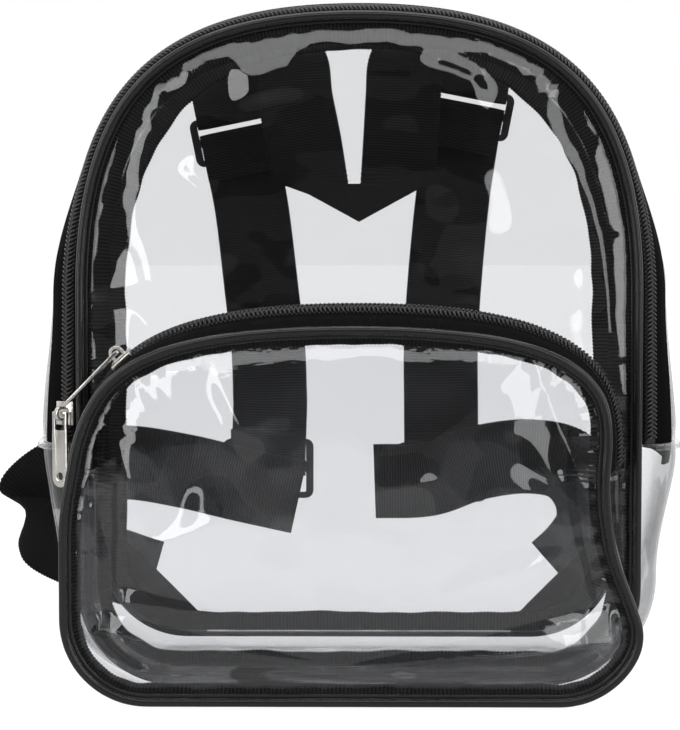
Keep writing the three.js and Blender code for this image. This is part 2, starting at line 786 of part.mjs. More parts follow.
const sliderFoot = gap; // the slider's flanges stop this far above the tapes
const sliderTop = coilProud + gap + sliderPlate;
const hingeHeight = sliderTop + pullThickness / 2 + hingeRoom;
const sliderHalfWidth = coilWidth / 2 + coilRoom + sliderSide;

// A channel over the coil with a bail on top. Its own frame: X across the coil, Y along it, Z outwards.
function slider() {
  const channel = new THREE.Shape();
  const inner = coilWidth / 2 + coilRoom;
  const corners = [
    [-sliderHalfWidth, sliderFoot], [-inner, sliderFoot], [-inner, sliderTop - sliderPlate],
    [inner, sliderTop - sliderPlate], [inner, sliderFoot], [sliderHalfWidth, sliderFoot],
    [sliderHalfWidth, sliderTop - 0.4], [sliderHalfWidth - 0.8, sliderTop],
    [-sliderHalfWidth + 0.8, sliderTop], [-sliderHalfWidth, sliderTop - 0.4],
  ];
  channel.setFromPoints(corners.map(([x, y]) => new THREE.Vector2(x, y)));
  const cover = new THREE.ExtrudeGeometry(channel, { depth: sliderLength, bevelEnabled: false });
  cover.translate(0, 0, -sliderLength / 2).rotateX(Math.PI / 2);

  const opening = bailReach - bailBar;
  const arch = new THREE.Shape();
  const sink = sliderTop - 0.5;
  arch.moveTo(-bailReach, sink).lineTo(-bailReach, hingeHeight);
  arch.absarc(0, hingeHeight, bailReach, Math.PI, 0, true);
  arch.lineTo(bailReach, sink).lineTo(opening, sink).lineTo(opening, hingeHeight);
  arch.absarc(0, hingeHeight, opening, 0, Math.PI, false);
  arch.lineTo(-opening, sink);
  const bail = new THREE.ExtrudeGeometry(arch, { depth: bailWidth, bevelEnabled: false, curveSegments: 6 });
  bail.translate(0, 0, -bailWidth / 2).rotateX(Math.PI / 2).rotateZ(Math.PI / 2);
  return joined([cover, bail]);
}

// The pull hangs from the bail by its top bar.
// Its own frame: the hinge line along X at the origin, down along -Y.
function pull() {
  const shape = new THREE.Shape();
  const neck = bailWidth / 2 + eyeRoom + pullBar;
  const [wide, top] = [pullWidth / 2, pullBar / 2];
  const shoulder = 8.5;
  shape.moveTo(-neck, top).lineTo(-neck, -shoulder + 2).lineTo(-wide, -shoulder - 1);
  shape.absarc(0, wide - pullLength, wide, Math.PI, 2 * Math.PI, false);
  shape.lineTo(wide, -shoulder - 1).lineTo(neck, -shoulder + 2).lineTo(neck, top);
  const eye = new THREE.Path();
  const eyeWide = neck - pullBar;
  eye.moveTo(-eyeWide, -pullBar / 2).lineTo(eyeWide, -pullBar / 2).lineTo(eyeWide, 1 - shoulder);
  eye.lineTo(-eyeWide, 1 - shoulder);
  const hole = new THREE.Path();
  hole.absarc(0, wide - pullLength + 0.6, pullHole / 2, 0, 2 * Math.PI, false);
  shape.holes.push(eye, hole);
  const options = { depth: pullThickness, bevelEnabled: false, curveSegments: 8 };
  const plate = new THREE.ExtrudeGeometry(shape, options);
  return plate.translate(0, 0, -pullThickness / 2);
}

// A slider's place on its zip: the left-hand point of the coil's middle line at a height, and its directions
function sliderFrame(surface, zip, height) {
  const v = (zip.coil[0] + zip.coil[1]) / 2;
  const left = upperRun.filter((i) => surface(i, v).x < surface(upperRun[0], v).x / 2).reverse();
  const next = left.findIndex((i) => surface(i, v).z > height);
  const [below, above] = [left[Math.max(0, next - 1)], left[Math.max(1, next)]];
  const [low, high] = [surface(below, v), surface(above, v)];
  const t = clamp01((height - low.z) / (high.z - low.z));
  const out = surfaceNormal(surface, below, v).lerp(surfaceNormal(surface, above, v), t).normalize();
  const along = low.clone().sub(high).normalize();
  const wide = out.clone().cross(along).normalize();
  return { point: low.lerp(high, t), along, wide, out: along.clone().cross(wide).normalize() };
}

// Puts a mesh whose own X runs across, -Y along and Z out into a frame, lifted outwards
function placed(mesh, frame, lift = 0) {
  const up = frame.along.clone().negate();
  const wide = up.clone().cross(frame.out).normalize();
  mesh.matrix.makeBasis(wide, up, frame.out);
  mesh.matrix.setPosition(frame.point.clone().addScaledVector(frame.out, lift));
  mesh.matrix.decompose(mesh.position, mesh.quaternion, mesh.scale);
  return mesh;
}

// Where a pull hangs: on its slider's bail, turned about the hinge line by an angle.
// A square pull has enough play in its bail for its hinge line to run straight along Y.
function pullFrame(slider, drop, square = false) {
  const along = square ? slider.along.clone().setY(0).normalize() : slider.along.clone();
  const wide = square ? new THREE.Vector3(0, -1, 0) : slider.wide;
  const turn = new THREE.Quaternion().setFromAxisAngle(wide, drop);
  return {
    point: slider.point.clone().addScaledVector(slider.out, hingeHeight),
    along: along.clone().applyQuaternion(turn),
    out: along.cross(wide).applyQuaternion(turn),
  };
}

// Materials
const finish = (color, roughness, metalness, opacity = 1) =>
  new THREE.MeshStandardMaterial({ color, roughness, metalness, opacity, transparent: opacity < 1 });
const clearVinyl = finish(0xe8ebee, 0.06, 0, 0.25);
const blackVinyl = finish(0x161616, 0.35, 0);
const blackTape = finish(0x1b1b1c, 0.85, 0);
const blackRibbon = finish(0x202021, 0.9, 0);
const webbingCloth = finish(0x1a1a1b, 0.9, 0);
const blackPlastic = finish(0x151516, 0.4, 0);
const nickel = finish(0xcfcac4, 0.25, 1);

function piece(name, geometry, material) {
  const mesh = new THREE.Mesh(geometry, material);
  mesh.name = name;
  return mesh;
}

// The body
const gussetInner = [0.05, 0.11, 0.2, 0.33, 0.5, 0.67, 0.8, 0.89, 0.95];
const gussetAcross = [bodyShare(gap), ...gussetInner, bodyShare(bodyDepth - gap)];
const upperAcross = [0, 0.3, 0.6, 0.82, 0.94, 1];
const body = new THREE.Group();
body.add(
  piece('front_panel', panel(frontSeam, frontY, frontDome, -1, 4), clearVinyl),
  piece('back_panel', panel(backSeam, backY, backDome, 1, 3), clearVinyl),
  piece('lower_gusset', sheet(bodySkin, lowerRun, gussetAcross, film), clearVinyl),
  piece('upper_gusset', sheet(behindZipSkin, upperRun, upperAcross, film), clearVinyl),
  piece('main_zip_facing', sheet(mainZipSkin, upperRun, spread(...bodyZip.facing, 2), tape), blackTape),
  piece('main_zip_back_tape', sheet(mainZipSkin, upperRun, spread(...bodyZip.tape, 2), tape), blackTape),
  piece('main_zip_coil', coil(mainZipSkin, bodyZip), blackPlastic),
  piece('front_piping', piping(frontSeam, frontY, -1), blackVinyl),
  piece('back_piping', piping(backSeam, backY, 1), blackVinyl),
  piece('front_binding', binding(frontSeam, frontY, 1), blackRibbon),
  piece('back_binding', binding(backSeam, backY, -1), blackRibbon),
);

// The pocket
const pocketAcross = [pocketShare(gap), 0.12, 0.3, 0.5, 0.7, 0.81, 0.9, 1];
const pocketTape = sheet(pocketZipSkin, upperRun, spread(...pocketZip.tape, 1), tape);
const pocketRibbon = binding(pocketSeam, pocketY, 1, pocketBindingWidth, pocketBindingTurn);
const pocket = new THREE.Group();
pocket.add(
  piece('pocket_panel', panel(pocketSeam, pocketY, pocketDome, -1, 4), clearVinyl),
  piece('pocket_gusset', sheet(pocketSkin, lowerRun, pocketAcross, film), clearVinyl),
  piece('pocket_zip_facing', sheet(pocketZipSkin, upperRun, spread(...pocketZip.facing, 4), tape), blackTape),
  piece('pocket_zip_back_tape', pocketTape, blackTape),
  piece('pocket_zip_coil', coil(pocketZipSkin, pocketZip), blackPlastic),
  piece('pocket_piping', piping(pocketSeam, pocketY, -1), blackVinyl),
  piece('pocket_binding', pocketRibbon, blackRibbon),
);

for (const [side, right] of [['left', false], ['right', true]]) {
  body.add(
    piece(`zip_end_fold_${side}`, zipFold(bodySkin, right, gussetInner), clearVinyl),
    piece(`zip_end_binding_${side}`, zipEndBinding(bodySkin, right, gussetInner.slice(1, -1)), blackRibbon),
  );
  const pocketFold = zipFold(pocketSkin, right, pocketAcross.slice(1, -1));
  pocket.add(piece(`pocket_end_fold_${side}`, pocketFold, clearVinyl));
}

// The sliders and their pulls
const mainSlider = sliderFrame(mainZipSkin, bodyZip, bodyZipEnd + mainSliderRise);
const pocketSlider = sliderFrame(pocketZipSkin, pocketZip, pocketZipEnd + pocketSliderRise);
const plumb = Math.atan2(mainSlider.out.z, -mainSlider.along.z);
const drop = THREE.MathUtils.degToRad(pocketPullDrop);
const zips = new THREE.Group();
zips.add(
  placed(piece('main_zip_slider', slider(), nickel), mainSlider),
  placed(piece('main_zip_pull', pull(), nickel), pullFrame(mainSlider, plumb)),
  placed(piece('pocket_zip_slider', slider(), nickel), pocketSlider),
  placed(piece('pocket_zip_pull', pull(), nickel), pullFrame(pocketSlider, drop, true)),
);

// The back
const harness = new THREE.Group();
harness.add(piece('yoke', yoke(), webbingCloth));
for (const [side, route] of Object.entries(straps)) harness.add(...strapPieces(side, route));

const backpack = new THREE.Group();
backpack.add(body, pocket, zips, harness);

export default backpack;
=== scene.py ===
import math
import bpy
import numpy as np
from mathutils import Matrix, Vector


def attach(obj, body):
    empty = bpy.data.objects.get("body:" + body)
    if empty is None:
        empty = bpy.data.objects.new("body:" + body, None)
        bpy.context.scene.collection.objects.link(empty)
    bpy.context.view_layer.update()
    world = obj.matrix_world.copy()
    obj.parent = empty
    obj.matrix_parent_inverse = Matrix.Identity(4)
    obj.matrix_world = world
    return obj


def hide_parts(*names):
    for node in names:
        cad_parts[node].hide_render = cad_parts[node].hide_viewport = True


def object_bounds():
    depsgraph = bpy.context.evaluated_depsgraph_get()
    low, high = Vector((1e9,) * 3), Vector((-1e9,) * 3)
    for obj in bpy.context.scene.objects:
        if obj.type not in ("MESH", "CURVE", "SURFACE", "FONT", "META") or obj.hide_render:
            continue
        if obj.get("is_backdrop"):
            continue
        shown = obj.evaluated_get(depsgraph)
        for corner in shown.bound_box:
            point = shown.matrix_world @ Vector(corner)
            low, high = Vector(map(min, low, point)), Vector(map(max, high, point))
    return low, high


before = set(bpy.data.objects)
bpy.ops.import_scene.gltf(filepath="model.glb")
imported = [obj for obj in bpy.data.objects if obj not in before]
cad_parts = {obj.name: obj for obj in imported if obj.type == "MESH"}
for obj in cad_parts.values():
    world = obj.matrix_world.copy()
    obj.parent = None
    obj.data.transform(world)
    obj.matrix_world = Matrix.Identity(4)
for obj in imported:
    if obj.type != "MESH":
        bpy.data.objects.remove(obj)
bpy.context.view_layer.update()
scene = bpy.context.scene
print("frame loaded")

# Lengths are in millimetres up to the moment a mesh is made
metre = 0.001
gap = 0.3
fineSteps = 4000


def lerp(a, b, t):
    return a + (b - a) * t


def ease(t):
    t = np.clip(t, 0, 1)
    return t * t * (3 - 2 * t)


# Angles evenly round a circle
def turns(count):
    return np.linspace(0, 2 * np.pi, count, endpoint=False)


# Vectors made one long
def unit(v):
    return v / np.linalg.norm(v, axis=-1, keepdims=True)


# How far along a line each of its points lies
def runAlong(points):
    return np.concatenate([[0], np.cumsum(np.linalg.norm(np.diff(points, axis=0), axis=1))])


# A smooth uneven line that closes on itself as s goes from 0 to 1
def ripple(s, seed, waves, falloff=0.9):
    rng = np.random.default_rng(seed)
    total = np.zeros_like(s)
    for i, count in enumerate(waves):
        total += falloff**i * np.sin(2 * np.pi * (count * s + rng.random()))
    return total / sum(falloff**i for i in range(len(waves)))


# Outlines of the seams, the same lines that the solid model is drawn through

outlineSteps = dict(bottom=16, corner=22, side=14, arch=64)
bag = dict(depth=107, frontDome=6, backDome=4, sideBulge=22, swellPower=6, film=1.0)
frontShape = dict(half=122, bottom=6, top=298, spring=175, corner=40, fullness=0.72, zipEnd=110)
backShape = dict(frontShape, half=126, top=306, fullness=0.66)
pocket = dict(depth=38, shift=-2.5, dome=8, bulge=2.5)
pocketShape = dict(half=122, bottom=5, top=161, spring=106, corner=34, fullness=0.71, zipEnd=100)
pocketFootShape = dict(half=117, bottom=11, top=173, spring=108, corner=38, fullness=0.71, zipEnd=100)
# Dents in the pocket's edge: side, height, reach and depth, as shares of its height and half width
pocketDents = [(1, 0.48, 0.36, 0.12), (1, 0.76, 0.32, 0.09), (-1, 0.78, 0.34, 0.053)]
# How far up the pocket's gusset has come at each share of the way back
pocketRiseRows = [(0, 0), (0.62, 0.4), (1, 1)]
bulgeRows = [(0, 0.32), (0.17, 0.34), (0.31, 0.64), (0.44, 1), (0.58, 0.78), (0.7, 0.45), (1, 0.38)]
frontY, backY = -bag["depth"] / 2, bag["depth"] / 2
pocketY = frontY - pocket["depth"]
lowestSkin = 0.4


def halfOutline(half, bottom, top, spring, corner, fullness, zipEnd):
    flat = half - corner
    s = outlineSteps
    rows = [(flat * i / s["bottom"], bottom, 0, -1) for i in range(s["bottom"])]
    for i in range(s["corner"] + 1):
        turn = math.pi / 2 * (i / s["corner"] - 1)
        nx, nz = math.cos(turn), math.sin(turn)
        rows.append((flat + corner * nx, bottom + corner + corner * nz, nx, nz))
    low, high = zipEnd - gap / 2, zipEnd + gap / 2
    rows += [(half, lerp(bottom + corner, low, i / s["side"]), 1, 0) for i in range(1, s["side"] + 1)]
    rows += [(half, lerp(high, spring, i / s["side"]), 1, 0) for i in range(s["side"])]
    t = np.linspace(0, 1, s["arch"] + 1)[:, None]
    a, b = np.array([half, spring]), np.array([half, lerp(spring, top, fullness)])
    c, d = np.array([half * fullness, top]), np.array([0, top])
    place = (1 - t)**3 * a + 3 * (1 - t)**2 * t * b + 3 * (1 - t) * t**2 * c + t**3 * d
    along = (1 - t)**2 * (b - a) + 2 * (1 - t) * t * (c - b) + t**2 * (d - c)
    along = unit(along)
    arch = np.column_stack([place, along[:, 1], -along[:, 0]])
    return np.vstack([np.array(rows, float), arch])


# Columns of an outline: x, z, outward x, outward z, share of the way up to the crown
def outline(half, bottom, top, spring, corner, fullness, zipEnd, shift=0, dents=()):
    rows = halfOutline(half, bottom, top, spring, corner, fullness, zipEnd)
    run = runAlong(rows[:, :2])
    share = run / run[-1]
    right, left = rows.copy(), rows.copy()
    high = (rows[:, 1] - bottom) / (top - bottom)
    for side, height, reach, deep in dents:
        (right if side > 0 else left)[:, 0] -= deep * half * ease(1 - np.abs(high - height) / reach)
    left[:, 0] *= -1
    left[:, 2] *= -1
    right, left = np.column_stack([right, share]), np.column_stack([left, share])
    ring = np.vstack([right, left[1:-1][::-1]])
    ring[:, 0] += shift
    return ring


frontSeam = outline(**frontShape)
backSeam = outline(**backShape)
pocketSeam = outline(**pocketShape, shift=pocket["shift"], dents=pocketDents)
pocketFoot = outline(**pocketFootShape)
stationCount = len(frontSeam)
zipStart = outlineSteps["bottom"] + outlineSteps["corner"] + 1 + outlineSteps["side"]
zipStop = stationCount - zipStart
lowStart, lowStop = zipStop + 1, stationCount + zipStart - 1


# An outline between its stations
def along(seam, t):
    low = np.floor(t).astype(int)
    part = (t - low)[:, None]
    return lerp(seam[low % stationCount], seam[(low + 1) % stationCount], part)


# Station numbers from one to another, evenly spaced in millimetres along a line
def evenly(line, start, stop, step):
    fine = np.linspace(start, stop, fineSteps)
    run = runAlong(line(fine))
    count = max(2, int(round(run[-1] / step)))
    return np.interp(np.linspace(0, run[-1], count + 1), run, fine), run[-1]


def wholeRing(seam, step):
    t, length = evenly(lambda t: along(seam, t)[:, :2], 0, stationCount, step)
    return t[:-1], length


# A value between the rows of a table, eased from row to row
def fromRows(rows, share):
    at, value = np.array(rows, float).T
    k = np.clip(np.searchsorted(at, share), 1, len(at) - 1)
    return lerp(value[k - 1], value[k], ease((share - at[k - 1]) / (at[k] - at[k - 1])))


# How far a point lies from a panel's middle, as a share of the way to its seam
def reachIn(seam, x, z):
    cx, cz = seam[0, 0], (seam[:, 1].min() + seam[:, 1].max()) / 2
    px, pz = np.asarray(x, float) - cx, np.asarray(z, float) - cz
    a, b = seam[:, :2] - (cx, cz), np.roll(seam[:, :2], -1, axis=0) - (cx, cz)
    reach = np.zeros_like(px)
    for (ax, az), (bx, bz) in zip(a, b):
        cross = ax * (bz - az) - az * (bx - ax)
        if abs(cross) > 1e-9:
            reach = np.maximum(reach, (px * (bz - az) - pz * (bx - ax)) / cross)
    return np.minimum(1, reach)


def frontFace(x, z):
    return frontY - bag["film"] - bag["frontDome"] * (1 - reachIn(frontSeam, x, z)**3)


def backFace(x, z):
    return backY + bag["film"] + bag["backDome"] * (1 - reachIn(backSeam, x, z)**3)


def asRows(v):
    v = np.asarray(v, float)
    return v if v.ndim == 2 else v[None, :]


# A skin between two outlines: up is the share of the way from near to far, out the distance outwards
def skinBetween(near, far, up, out, y):
    x = lerp(near[..., 0], far[..., 0], up) + near[..., 2] * out
    z = np.maximum(lowestSkin, lerp(near[..., 1], far[..., 1], up) + near[..., 3] * out)
    return np.stack([x, y + 0 * x, z], -1)


# The gussets: places for every station t and every share v of the way back
def bodySkin(t, v):
    near, far = along(frontSeam, t)[:, None, :], along(backSeam, t)[:, None, :]
    v = asRows(v)
    out = bag["sideBulge"] * fromRows(bulgeRows, near[..., 4]) * (1 - np.abs(1 - 2 * v)**bag["swellPower"])
    return skinBetween(near, far, v, out, lerp(frontY, backY, v))


def pocketSkin(t, v):
    near, far = along(pocketSeam, t)[:, None, :], along(pocketFoot, t)[:, None, :]
    v = asRows(v)
    back = frontFace(far[..., 0], far[..., 1]) - gap
    return skinBetween(near, far, fromRows(pocketRiseRows, v), pocket["bulge"] * (1 - (1 - 2 * v)**2),
                       lerp(pocketY, back, v))


# Shares of the way back at which a skin has run some lengths, in millimetres on its surface
def sharesAt(skin, t, lengths, ofWhole=False):
    v = np.linspace(0, 1, 81)
    run = np.cumsum(np.linalg.norm(np.diff(skin(t, v), axis=1), axis=2), axis=1)
    run = np.hstack([np.zeros((len(run), 1)), run])
    return np.array([np.interp(lengths * (line[-1] if ofWhole else 1), line, v) for line in run])


# Main zip: distances back from the front seam. Pocket zip: its coil's distance from the front panel.
zipPlaces = dict(facing=5.5, coil=6.0, tape=13.0, pocketSetback=4.2)
coilStart = zipPlaces["facing"] + gap
coilEnd = coilStart + zipPlaces["coil"]
tapeEnd = coilEnd + gap + zipPlaces["tape"]
pocketCoilEnd = pocket["depth"] - zipPlaces["pocketSetback"]
pocketCoilStart = pocketCoilEnd - zipPlaces["coil"]
seen = 0.05  # the woven tapes all but touch under the coil, so no light shows between them
bodyZip = dict(facing=(gap, coilStart - seen), coil=(coilStart, coilEnd), tape=(coilEnd + seen, tapeEnd))
pocketZip = dict(facing=(gap, pocketCoilStart - seen), coil=(pocketCoilStart, pocketCoilEnd),
                 tape=(pocketCoilEnd + seen, pocket["depth"]))


# The gussets under the zips, by millimetres from the front, and the clear sheet behind the main zip
def mainZipSkin(t, distances):
    return bodySkin(t, sharesAt(bodySkin, t, np.asarray(distances, float)))


def pocketZipSkin(t, distances):
    return pocketSkin(t, sharesAt(pocketSkin, t, np.asarray(distances, float) / pocket["depth"], True))


def behindZipSkin(t, v):
    start = sharesAt(bodySkin, t, np.array([tapeEnd + gap]))
    return bodySkin(t, lerp(start, 1 - gap / bag["depth"], asRows(v)))


print("outlines drawn")


# Meshes from grids of points

def gridFaces(rows, columns, loopRows=False, loopColumns=False):
    r = np.arange(rows if loopRows else rows - 1)
    c = np.arange(columns if loopColumns else columns - 1)
    a, b = np.meshgrid(r, c, indexing="ij")
    a2, b2 = (a + 1) % rows, (b + 1) % columns
    corners = [a * columns + b, a * columns + b2, a2 * columns + b2, a2 * columns + b]
    return np.stack(corners, -1).reshape(-1, 4)


def gridNormals(points):
    normal = np.cross(np.gradient(points, axis=1), np.gradient(points, axis=0))
    return normal / np.maximum(np.linalg.norm(normal, axis=-1, keepdims=True), 1e-9)


# Places on a weave, in metres
def asPlaces(u, v):
    return np.stack([u, v], -1).reshape(-1, 2) * metre


def makePiece(name, points, faces, material, nodes, slot, places=None):
    points = np.asarray(points, float).reshape(-1, 3) * metre
    faces = [list(map(int, face)) for face in faces]
    mesh = bpy.data.meshes.new(name)
    mesh.from_pydata(points.tolist(), [], faces)
    if places is not None:
        corners = np.zeros(len(mesh.loops), int)
        mesh.loops.foreach_get("vertex_index", corners)
        mesh.uv_layers.new(name="UVMap").data.foreach_set("uv", places[corners].ravel())
    mesh.shade_smooth()
    mesh.materials.append(material)
    piece = bpy.data.objects.new(name, mesh)
    scene.collection.objects.link(piece)
    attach(piece, "bag")
    if nodes:
        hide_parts(*nodes)
    return piece


# Turns the faces of a closed shape outwards
def facingOut(points, faces):
    points = points.reshape(-1, 3)
    a, b, c, d = (points[faces[:, k]] for k in range(4))
    volume = (np.cross(a, b) * c).sum() + (np.cross(a, c) * d).sum()
    return faces if volume > 0 else faces[:, ::-1]


# Faces of a capped tube made of rings
def tubeFaces(rings, sides):
    last = (rings - 1) * sides
    caps = [list(range(sides))[::-1], list(range(last, last + sides))]
    return gridFaces(rings, sides, False, True).tolist(), caps


# One mesh from some: each is its points and faces
def joinMeshes(parts):
    faces, base = [], 0
    for points, own in parts:
        faces += [[corner + base for corner in face] for face in own]
        base += points.reshape(-1, 3).shape[0]
    return np.vstack([points.reshape(-1, 3) for points, _ in parts]), faces


# A closed skin through sections whose far half mirrors their near half
def loft(sections):
    rows, columns = sections.shape[:2]
    k = np.arange(columns // 2 - 1)
    start = np.stack([columns - 1 - k, columns - 2 - k, k + 1, k], -1)
    faces = np.vstack([gridFaces(rows, columns, False, True), start, start[:, ::-1] + (rows - 1) * columns])
    return facingOut(sections, faces)


# A thin closed sheet on a grid of points
def sheetSections(points, thickness, outset=0.0, normals=None):
    normals = gridNormals(points) if normals is None else normals
    outer = points + normals * outset
    inner = points + normals * (outset - thickness)
    return np.concatenate([outer, inner[:, ::-1]], axis=1)


# Places of both faces of a sheet: along and across its grid
def sheetCoordinates(points):
    rows, columns = points.shape[:2]
    u = runAlong(points[:, columns // 2])[:, None] + np.zeros((1, columns))
    v = runAlong(points[rows // 2])[None, :] + np.zeros((rows, 1))
    return asPlaces(np.hstack([u, u[:, ::-1]]), np.hstack([v, v[:, ::-1]]))


def makeSheet(name, points, thickness, outset, normals, material, node, slot):
    sections = sheetSections(points, thickness, outset, normals)
    return makePiece(name, sections, loft(sections), material, [node], slot, places=sheetCoordinates(points))


# A ring of section corners beside a seam: each corner is (out from the outline, back along Y)
def besideSeam(seam, t, seamY, corners):
    rows = along(seam, t)[:, None, :]
    out, back = corners[..., 0], corners[..., 1]
    x = rows[..., 0] + rows[..., 2] * out
    z = rows[..., 1] + rows[..., 3] * out
    return np.stack([x, seamY + back + 0 * x, z], -1)


# Node groups used by several finishes

def newGroup(name, inputs, outputs):
    group = bpy.data.node_groups.new(name, "ShaderNodeTree")
    for label, kind, value in inputs:
        socket = group.interface.new_socket(name=label, in_out="INPUT", socket_type=kind)
        if value is not None:
            socket.default_value = value
    for label, kind in outputs:
        group.interface.new_socket(name=label, in_out="OUTPUT", socket_type=kind)
    start, end = group.nodes.new("NodeGroupInput"), group.nodes.new("NodeGroupOutput")
    return group, start, end


def mathNode(tree, operation, *values, clamp=False):
    node = tree.nodes.new("ShaderNodeMath")
    node.operation = operation
    node.use_clamp = clamp
    for k, value in enumerate(values):
        if isinstance(value, (int, float)):
            node.inputs[k].default_value = value
        else:
            tree.links.new(value, node.inputs[k])
    return node.outputs[0]


def noiseNode(tree, vector, scale, detail=3.0, roughness=0.5):
    node = tree.nodes.new("ShaderNodeTexNoise")
    node.inputs["Detail"].default_value = detail
    node.inputs["Roughness"].default_value = roughness
    tree.links.new(vector, node.inputs["Vector"])
    if isinstance(scale, (int, float)):
        node.inputs["Scale"].default_value = scale
    else:
        tree.links.new(scale, node.inputs["Scale"])
    return node.outputs[0]


# tone sets how strongly the weave's height is painted in as shade in its grooves and highlight on its ribs;
# patches and base set a random unevenness of tone
weaveLook = dict(shift=1.2, threads=0.3, ribs=0.5, fuzz=2600, broad=45, tone=0.45, patches=0.4, base=0.25)
marksLook = dict(finer=14.0, fine=0.3, broad=0.7)


# Ribs across the cloth crossed by finer threads along it; the tone is painted shade in the grooves and painted
# highlight on the ribs, over uneven patches
def makeWeaveGroup():
    group, start, end = newGroup(
        "wovenThreads",
        [("Place", "NodeSocketVector", None), ("Rib Pitch", "NodeSocketFloat", 0.00125),
         ("Thread Pitch", "NodeSocketFloat", 0.0006), ("Unevenness", "NodeSocketFloat", 0.25)],
        [("Height", "NodeSocketFloat"), ("Tone", "NodeSocketFloat")],
    )
    split = group.nodes.new("ShaderNodeSeparateXYZ")
    group.links.new(start.outputs["Place"], split.inputs[0])
    waves = []
    for axis, pitch in (("X", "Rib Pitch"), ("Y", "Thread Pitch")):
        steps = mathNode(group, "DIVIDE", split.outputs[axis], start.outputs[pitch])
        waves.append(mathNode(group, "MULTIPLY", steps, 2 * math.pi))
    ribs = mathNode(group, "SINE", waves[0])
    look = weaveLook
    shifted = mathNode(group, "ADD", waves[1], mathNode(group, "MULTIPLY", ribs, look["shift"]))
    threads = mathNode(group, "SINE", shifted)
    ribbed = mathNode(group, "MULTIPLY", ribs, look["ribs"])
    body = mathNode(group, "MULTIPLY_ADD", threads, look["threads"], ribbed)
    fuzz = noiseNode(group, start.outputs["Place"], look["fuzz"], 2, 0.6)
    fuzz = mathNode(group, "MULTIPLY", mathNode(group, "SUBTRACT", fuzz, 0.5), start.outputs["Unevenness"])
    height = mathNode(group, "MULTIPLY_ADD", body, 0.5, mathNode(group, "ADD", fuzz, 0.5))
    group.links.new(height, end.inputs["Height"])
    broad = noiseNode(group, start.outputs["Place"], look["broad"], 5, 0.6)
    patches = mathNode(group, "MULTIPLY_ADD", broad, look["patches"], look["base"])
    # Painted shade: the tone follows the weave's height, darker in its grooves and lighter on its ribs, over
    # random patches
    tone = mathNode(group, "MULTIPLY_ADD", body, look["tone"], patches)
    group.links.new(mathNode(group, "MULTIPLY", tone, 1.0, clamp=True), end.inputs["Tone"])
    return group


# Faint handling marks: a mask for roughness and colour, and a low relief
def makeHandlingGroup():
    group, start, end = newGroup(
        "handlingMarks",
        [("Place", "NodeSocketVector", None), ("Scale", "NodeSocketFloat", 60.0),
         ("Low", "NodeSocketFloat", 0.25), ("High", "NodeSocketFloat", 0.45)],
        [("Value", "NodeSocketFloat"), ("Height", "NodeSocketFloat")],
    )
    broad = noiseNode(group, start.outputs["Place"], start.outputs["Scale"], 5, 0.6)
    finer = mathNode(group, "MULTIPLY", start.outputs["Scale"], marksLook["finer"])
    fine = noiseNode(group, start.outputs["Place"], finer, 2, 0.5)
    spread = mathNode(group, "SUBTRACT", start.outputs["High"], start.outputs["Low"])
    broad = mathNode(group, "MULTIPLY", broad, marksLook["broad"])
    blend = mathNode(group, "MULTIPLY_ADD", fine, marksLook["fine"], broad)
    group.links.new(mathNode(group, "MULTIPLY_ADD", blend, spread, start.outputs["Low"]), end.inputs["Value"])
    group.links.new(fine, end.inputs["Height"])
    return group


weaveGroup, handlingGroup = makeWeaveGroup(), makeHandlingGroup()


def newMaterial(name):
    material = bpy.data.materials.new(name)
    material.use_nodes = True
    return material, material.node_tree, material.node_tree.nodes["Principled BSDF"]


def setInputs(node, values):
    for label, value in values.items():
        node.inputs[label].default_value = value


def useGroup(tree, group, place, **values):
    node = tree.nodes.new("ShaderNodeGroup")
    node.node_tree = group
    tree.links.new(place, node.inputs["Place"])
    setInputs(node, values)
    return node


def coordinates(tree, kind):
    return tree.nodes.new("ShaderNodeTexCoord").outputs[kind]


def bumpInto(tree, shader, height, strength, distance):
    bump = tree.nodes.new("ShaderNodeBump")
    bump.inputs["Strength"].default_value = strength
    bump.inputs["Distance"].default_value = distance
    tree.links.new(height, bump.inputs["Height"])
    tree.links.new(bump.outputs[0], shader.inputs["Normal"])


def toneInto(tree, shader, factor, dark, light):
    mix = tree.nodes.new("ShaderNodeMix")
    mix.data_type = "RGBA"
    mix.inputs["A"].default_value = (*dark, 1)
    mix.inputs["B"].default_value = (*light, 1)
    tree.links.new(factor, mix.inputs["Factor"])
    tree.links.new(mix.outputs["Result"], shader.inputs["Base Color"])


# Black cloth: webbing, binding and zip tape
def makeCloth(name, dark, light, ribPitch, threadPitch, roughness, strength, sheen):
    material, tree, shader = newMaterial(name)
    weave = useGroup(tree, weaveGroup, coordinates(tree, "UV"),
                     **{"Rib Pitch": ribPitch, "Thread Pitch": threadPitch, "Unevenness": 0.04})
    marks = useGroup(tree, handlingGroup, coordinates(tree, "Object"),
                     Scale=40, Low=roughness - 0.1, High=roughness + 0.1)
    toneInto(tree, shader, weave.outputs["Tone"], dark, light)
    tree.links.new(marks.outputs["Value"], shader.inputs["Roughness"])
    bumpInto(tree, shader, weave.outputs["Height"], strength, 0.0003)
    setInputs(shader, {"Sheen Weight": sheen, "Sheen Roughness": 0.4, "Specular IOR Level": 0.02})
    return material


# A finish with handling marks in its tone, roughness and relief: plastics and metal
def makeFinish(name, dark, light, low, high, scale, strength, **sockets):
    material, tree, shader = newMaterial(name)
    marks = useGroup(tree, handlingGroup, coordinates(tree, "Object"), Scale=scale, Low=low, High=high)
    toneInto(tree, shader, marks.outputs["Height"], dark, light)
    tree.links.new(marks.outputs["Value"], shader.inputs["Roughness"])
    bumpInto(tree, shader, marks.outputs["Height"], strength, 0.0002)
    setInputs(shader, sockets)
    return material


def makeSmooth(name, dark, light, low, high, scale, strength, coat=0.0):
    return makeFinish(name, dark, light, low, high, scale, strength,
                      **{"Specular IOR Level": 0.32, "Coat Weight": coat, "Coat Roughness": 0.12})


filmIndex = 1.42


